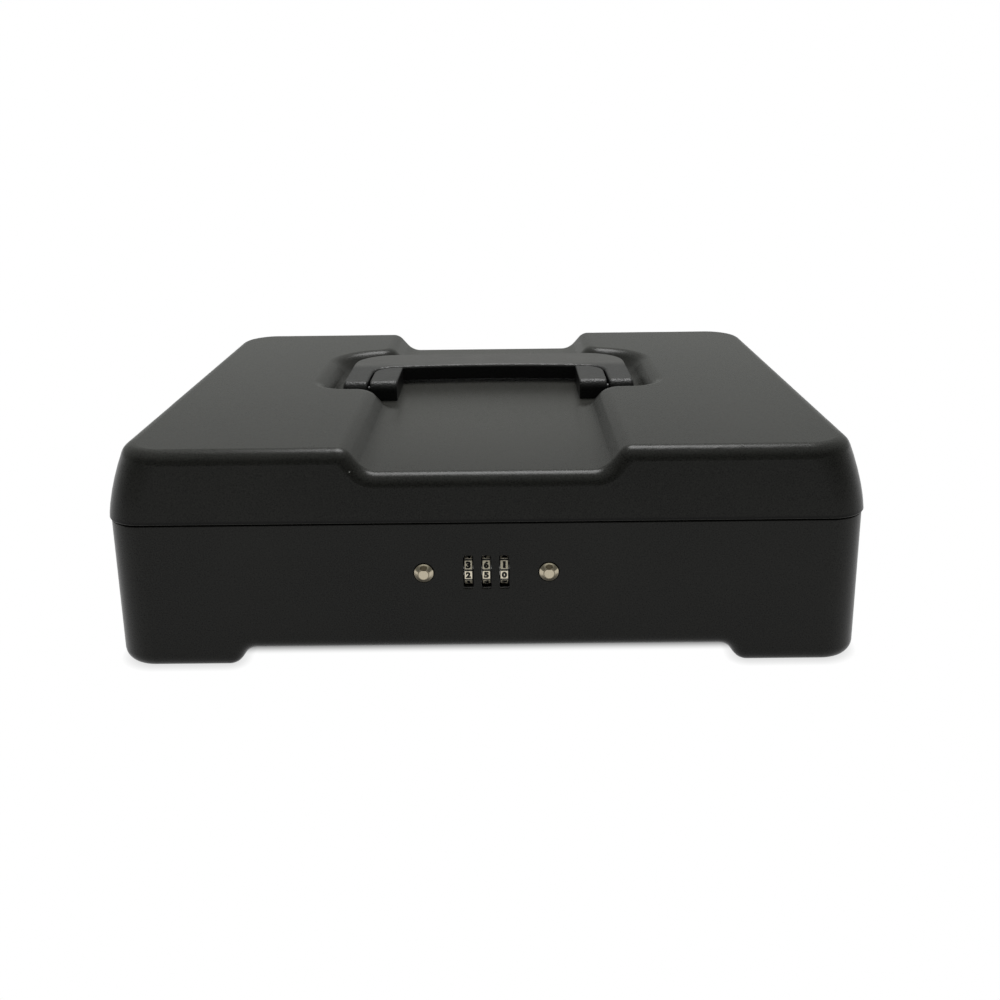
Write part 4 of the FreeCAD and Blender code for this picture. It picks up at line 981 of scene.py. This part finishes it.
@dataclass
class LockFasteners:
    """The cover's screws, and the weld studs and nuts that hold the lock case."""

    materials: dict[str, bpy.types.Material]
    cover_head_radius: float = 2.2 * MM
    cover_head_height: float = 1.5 * MM
    cover_shank_radius: float = 1.1 * MM
    cover_pitch: float = 0.45 * MM
    stud_radius: float = 2.0 * MM
    stud_pitch: float = 0.7 * MM
    nut_flats: float = 7.0 * MM
    chamfer_cuts: int = 36
    bore_clearance: float = 0.1 * MM

    def build(self) -> None:
        """Makes each family of fasteners as one piece."""
        self._keep("cover_screws", "cover_screws_cross", self._cover_screws())
        self._keep("case_studs", "case_studs_threaded", self._studs())
        self._keep("case_nuts", "case_nuts_hex", self._nuts())

    def _keep(self, node: str, name: str, shapes: list[bmesh.types.BMesh]) -> None:
        """Puts shapes into the scene as one piece.

        Args:
            node: The solid that the piece stands for.
            name: The piece's name.
            shapes: The bmeshes, which are freed.
        """
        piece = shown(name, joined(shapes), self.materials["plated_steel"], 28.0)
        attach(piece, "base")
        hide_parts(node)
        LOG.info("built %s", piece.name)

    def _cover_screws(self) -> list[bmesh.types.BMesh]:
        """Two screws that point to the front, heads to the back."""
        low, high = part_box("cover_screws")
        length = high.y - low.y - self.cover_head_height
        shapes = []
        for k, x in enumerate((low.x + self.cover_head_radius, high.x - self.cover_head_radius)):
            screw = CrossScrew(
                self.cover_head_radius, self.cover_head_height, self.cover_shank_radius, length,
                self.cover_pitch,
            ).build()
            turn = Matrix.Rotation(math.radians(15 + 40 * k), 4, "Z")
            back = Matrix.Rotation(-math.pi / 2, 4, "X")
            spot = Matrix.Translation((x, high.y - self.cover_head_height, (low.z + high.z) / 2))
            bmesh.ops.transform(screw, matrix=spot @ back @ turn, verts=screw.verts)
            shapes.append(screw)
        return shapes

    def _studs(self) -> list[bmesh.types.BMesh]:
        """Two threaded studs along Y."""
        low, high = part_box("case_studs")
        shapes = []
        for x in (low.x + self.stud_radius, high.x - self.stud_radius):
            rod = threaded(self.stud_radius, high.y - low.y, self.stud_pitch)
            back = Matrix.Rotation(-math.pi / 2, 4, "X")
            spot = Matrix.Translation((x, high.y, (low.z + high.z) / 2))
            bmesh.ops.transform(rod, matrix=spot @ back, verts=rod.verts)
            shapes.append(rod)
        return shapes

    def _nuts(self) -> list[bmesh.types.BMesh]:
        """Two hexagon nuts with chamfered corners and an open bore."""
        low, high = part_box("case_nuts")
        reach = self.nut_flats / math.sqrt(3)
        shapes = []
        for x in (low.x + reach, high.x - reach):
            nut = self._nut(high.y - low.y)
            back = Matrix.Rotation(-math.pi / 2, 4, "X")
            spot = Matrix.Translation((x, (low.y + high.y) / 2, (low.z + high.z) / 2))
            bmesh.ops.transform(nut, matrix=spot @ back, verts=nut.verts)
            shapes.append(nut)
        return shapes

    def _nut(self, height: float) -> bmesh.types.BMesh:
        """Makes one nut.

        Args:
            height: The nut's height in metres.

        Returns:
            The nut along Z, centred.
        """
        shape = bmesh.new()
        reach = self.nut_flats / math.sqrt(3)
        bmesh.ops.create_cone(
            shape, cap_ends=True, segments=6, radius1=reach, radius2=reach, depth=height,
            matrix=Matrix.Rotation(math.pi / 2, 4, "Z"),
        )
        edge = 0.95 * self.nut_flats / 2
        tilt = math.radians(60)
        for end in (-1, 1):
            for k in range(self.chamfer_cuts):
                turn = math.tau * k / self.chamfer_cuts
                out = Vector((math.cos(turn), math.sin(turn), 0))
                normal = out * math.cos(tilt) + Vector((0, 0, end)) * math.sin(tilt)
                geom = list(shape.verts) + list(shape.edges) + list(shape.faces)
                cut = bmesh.ops.bisect_plane(
                    shape, geom=geom, plane_co=out * edge + Vector((0, 0, end * height / 2)), plane_no=normal,
                    clear_outer=True,
                )
                ring = [e for e in cut["geom_cut"] if isinstance(e, bmesh.types.BMEdge)]
                if len(ring) > 2:
                    bmesh.ops.contextual_create(shape, geom=ring)
        merged(shape)
        shape.normal_update()
        caps = [f for f in shape.faces if abs(f.normal.z) > 0.999]
        bmesh.ops.inset_individual(shape, faces=caps, thickness=edge - self.stud_radius - self.bore_clearance)
        rims = [e for f in caps for e in f.edges]
        bmesh.ops.delete(shape, geom=caps, context="FACES_ONLY")
        bmesh.ops.bridge_loops(shape, edges=rims)
        return shape


@dataclass
class LockSpring:
    """The coil that pushes the lock bar back, with closed ends."""

    materials: dict[str, bpy.types.Material]
    wire: float = 0.5 * MM
    turns: float = 7.0
    end_turns: float = 1.0
    steps: int = 20
    stroke: float = 3.2 * MM

    def build(self) -> None:
        """Makes the coil, as long as the solid spring."""
        low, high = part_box("lock_spring")
        middle = (low + high) / 2
        coil = (high.z - low.z - self.wire) / 2
        length = high.x - low.x
        shape = bmesh.new()
        ring = bmesh.ops.create_circle(
            shape, radius=self.wire / 2, segments=10,
            matrix=Matrix.Translation((low.x + self.wire / 2, middle.y + coil, middle.z)),
        )
        geom = ring["verts"] + list({e for v in ring["verts"] for e in v.link_edges})
        first = list(geom)
        open_turns = self.turns - 2 * self.end_turns
        open_pitch = (length - self.wire - 2 * self.end_turns * self.wire) / open_turns
        closed = (self.end_turns, self.wire)
        for turns, pitch in (closed, (open_turns, open_pitch), closed):
            count = round(turns * self.steps)
            swept = bmesh.ops.spin(
                shape, geom=geom, cent=(0, middle.y, middle.z), axis=(1, 0, 0),
                dvec=(pitch / self.steps, 0, 0), angle=math.tau * turns, steps=count,
            )
            geom = swept["geom_last"]
        for end in (first, geom):
            bmesh.ops.contextual_create(shape, geom=[e for e in end if isinstance(e, bmesh.types.BMEdge)])
        piece = shown("lock_spring_coil", shape, self.materials["spring_steel"])
        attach(piece, "base")
        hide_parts("lock_spring")
        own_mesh(piece)
        LOG.info("built %s", piece.name)


@dataclass
class Studio:
    """A white floor and room, a soft lamp and the camera."""

    camera_place: Vector = field(default_factory=lambda: Vector((8.1588, -502.1295, 210.4714)) * MM)
    yaw: float = -0.0052
    pitch: float = 0.2563
    roll: float = -0.0124
    focal: float = 1.0565
    sensor: float = 36.0
    frame_drop: float = -0.100
    floor_size: float = 6.0
    floor_colour: Colour = (0.50, 0.50, 0.50, 1.0)
    footprint: tuple[float, float] = (149.3 * MM, 119.3 * MM)
    shadow_start: float = 11 * MM
    shadow_full: float = 22 * MM
    contact_reach: float = 4 * MM
    contact_share: float = 0.3
    floor_drop: float = 0.05 * MM
    room_tint: Colour = (0.98, 1.0, 0.96, 1.0)
    horizon_back: float = 0.52
    horizon_front: float = 0.16
    ceiling: float = 0.8
    lamp_place: tuple[float, float, float] = (0.06, 0.50, 1.40)
    lamp_target: tuple[float, float, float] = (0, 0, 0.06)
    lamp_size: float = 0.75
    lamp_power: float = 20.0

    def build(self) -> None:
        """Sets up the floor, the room, the lamp and the camera."""
        self._floor()
        self._room()
        self._lamp()
        self._camera()
        bpy.context.scene.view_settings.view_transform = "Standard"
        LOG.info("built the studio")

    def _floor(self) -> None:
        """A pale floor that looks white, with a painted shadow under the box and a real contact shadow where
        something stands close.
        """
        shape = bmesh.new()
        bmesh.ops.create_grid(shape, x_segments=1, y_segments=1, size=self.floor_size / 2)
        bmesh.ops.translate(shape, vec=(0, 0, -self.floor_drop), verts=shape.verts)
        material = bpy.data.materials.new("studio_floor")
        material.use_nodes = True
        graph = Graph(material.node_tree)
        seen = self._direct(graph, graph.add("ShaderNodeLightPath"))
        matt = graph.wire("ShaderNodeBsdfDiffuse", 0, Color=self.floor_colour)
        glow = graph.wire("ShaderNodeEmission", 0, Color=self._contact_shadow(graph), Strength=1.0)
        mixed = graph.add("ShaderNodeMixShader", None, {0: seen, 1: matt, 2: glow})
        graph.add("ShaderNodeOutputMaterial", None, {"Surface": Wire(graph, mixed.outputs[0])})
        shown("studio_floor", shape, material)

    def _contact_shadow(self, graph: Graph) -> Wire:
        """Draws the shadow under the box.

        Args:
            graph: The floor's shader tree.

        Returns:
            1 on the open floor, less where something stands close, 0 a little way under the box.
        """
        x, y, _ = graph.axes(graph.place())
        half_x, half_y = self.footprint
        under = graph.math("MINIMUM", half_x - graph.math("ABSOLUTE", x), half_y - graph.math("ABSOLUTE", y))
        near = graph.wire("ShaderNodeAmbientOcclusion", "AO", {"samples": 8}, Distance=self.contact_reach)
        open_floor = graph.step(under, self.shadow_full, self.shadow_start)
        return open_floor * (1 - self.contact_share + near * self.contact_share)

    @staticmethod
    def _direct(graph: Graph, path: bpy.types.Node) -> Wire:
        """1 for a ray of the camera, a mirror or glass, which shows the background."""
        names = ("Is Camera Ray", "Is Glossy Ray", "Is Transmission Ray")
        camera, glossy, through = (Wire(graph, path.outputs[name]) for name in names)
        return graph.math("MINIMUM", camera + glossy + through, 1.0)

    def _room(self) -> None:
        """A softly lit room that the camera sees white."""
        world = bpy.data.worlds.new("studio_room")
        world.use_nodes = True
        bpy.context.scene.world = world
        graph = Graph(world.node_tree)
        path = graph.add("ShaderNodeLightPath")
        _, depth, height = graph.axes(graph.place("Generated"))
        walls = self.horizon_front + graph.step(depth, -0.5, 0.5) * (self.horizon_back - self.horizon_front)
        shade = walls + graph.step(height, 0.45, 0.95) * (self.ceiling - walls)
        mirrored = Wire(graph, path.outputs["Is Glossy Ray"])
        walls_seen = graph.mix(shade, grey(0.0), self.room_tint)
        room = graph.wire("ShaderNodeBackground", 0, Color=walls_seen, Strength=1.0)
        white = graph.mix(mirrored, grey(1.0), walls_seen)
        backdrop = graph.wire("ShaderNodeBackground", 0, Color=white, Strength=1.0)
        mixed = graph.add("ShaderNodeMixShader", None, {0: self._direct(graph, path), 1: room, 2: backdrop})
        graph.add("ShaderNodeOutputWorld", None, {"Surface": Wire(graph, mixed.outputs[0])})

    def _lamp(self) -> None:
        """A square soft lamp above the box."""
        lamp = bpy.data.lights.new("overhead_softbox", "AREA")
        lamp.shape = "SQUARE"
        lamp.size = self.lamp_size
        lamp.energy = self.lamp_power
        holder = bpy.data.objects.new("overhead_softbox", lamp)
        holder.location = self.lamp_place
        aim = Vector(self.lamp_target) - Vector(self.lamp_place)
        holder.rotation_euler = aim.to_track_quat("-Z", "Y").to_euler()
        bpy.context.scene.collection.objects.link(holder)

    def _camera(self) -> None:
        """The photograph's camera."""
        flat = math.cos(self.pitch)
        ahead = Vector((math.sin(self.yaw) * flat, math.cos(self.yaw) * flat, -math.sin(self.pitch)))
        level = Vector((math.cos(self.yaw), -math.sin(self.yaw), 0))
        over = level.cross(ahead)
        right = level * math.cos(self.roll) + over * math.sin(self.roll)
        up = over * math.cos(self.roll) - level * math.sin(self.roll)
        lens = bpy.data.cameras.new("photo_camera")
        lens.sensor_width = self.sensor
        lens.lens = self.focal * self.sensor
        lens.shift_y = self.frame_drop
        lens.clip_start = 0.01
        camera = bpy.data.objects.new("photo_camera", lens)
        turn = Matrix((right, up, -ahead)).transposed().to_4x4()
        camera.matrix_world = Matrix.Translation(self.camera_place) @ turn
        bpy.context.scene.collection.objects.link(camera)
        bpy.context.scene.camera = camera


def main() -> None:
    """Loads the frame, dresses it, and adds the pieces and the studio."""
    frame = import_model()
    materials = {slot: finish.material() for slot, finish in FINISHES.items()}
    CadDress(materials).dress(frame)
    DialNumbers(materials).build()
    LidScrews(materials).build()
    LockFasteners(materials).build()
    LockSpring(materials).build()
    Studio().build()


if __name__ == "__main__":
    logging.basicConfig(level=logging.INFO, format="%(name)s %(message)s")
    main()
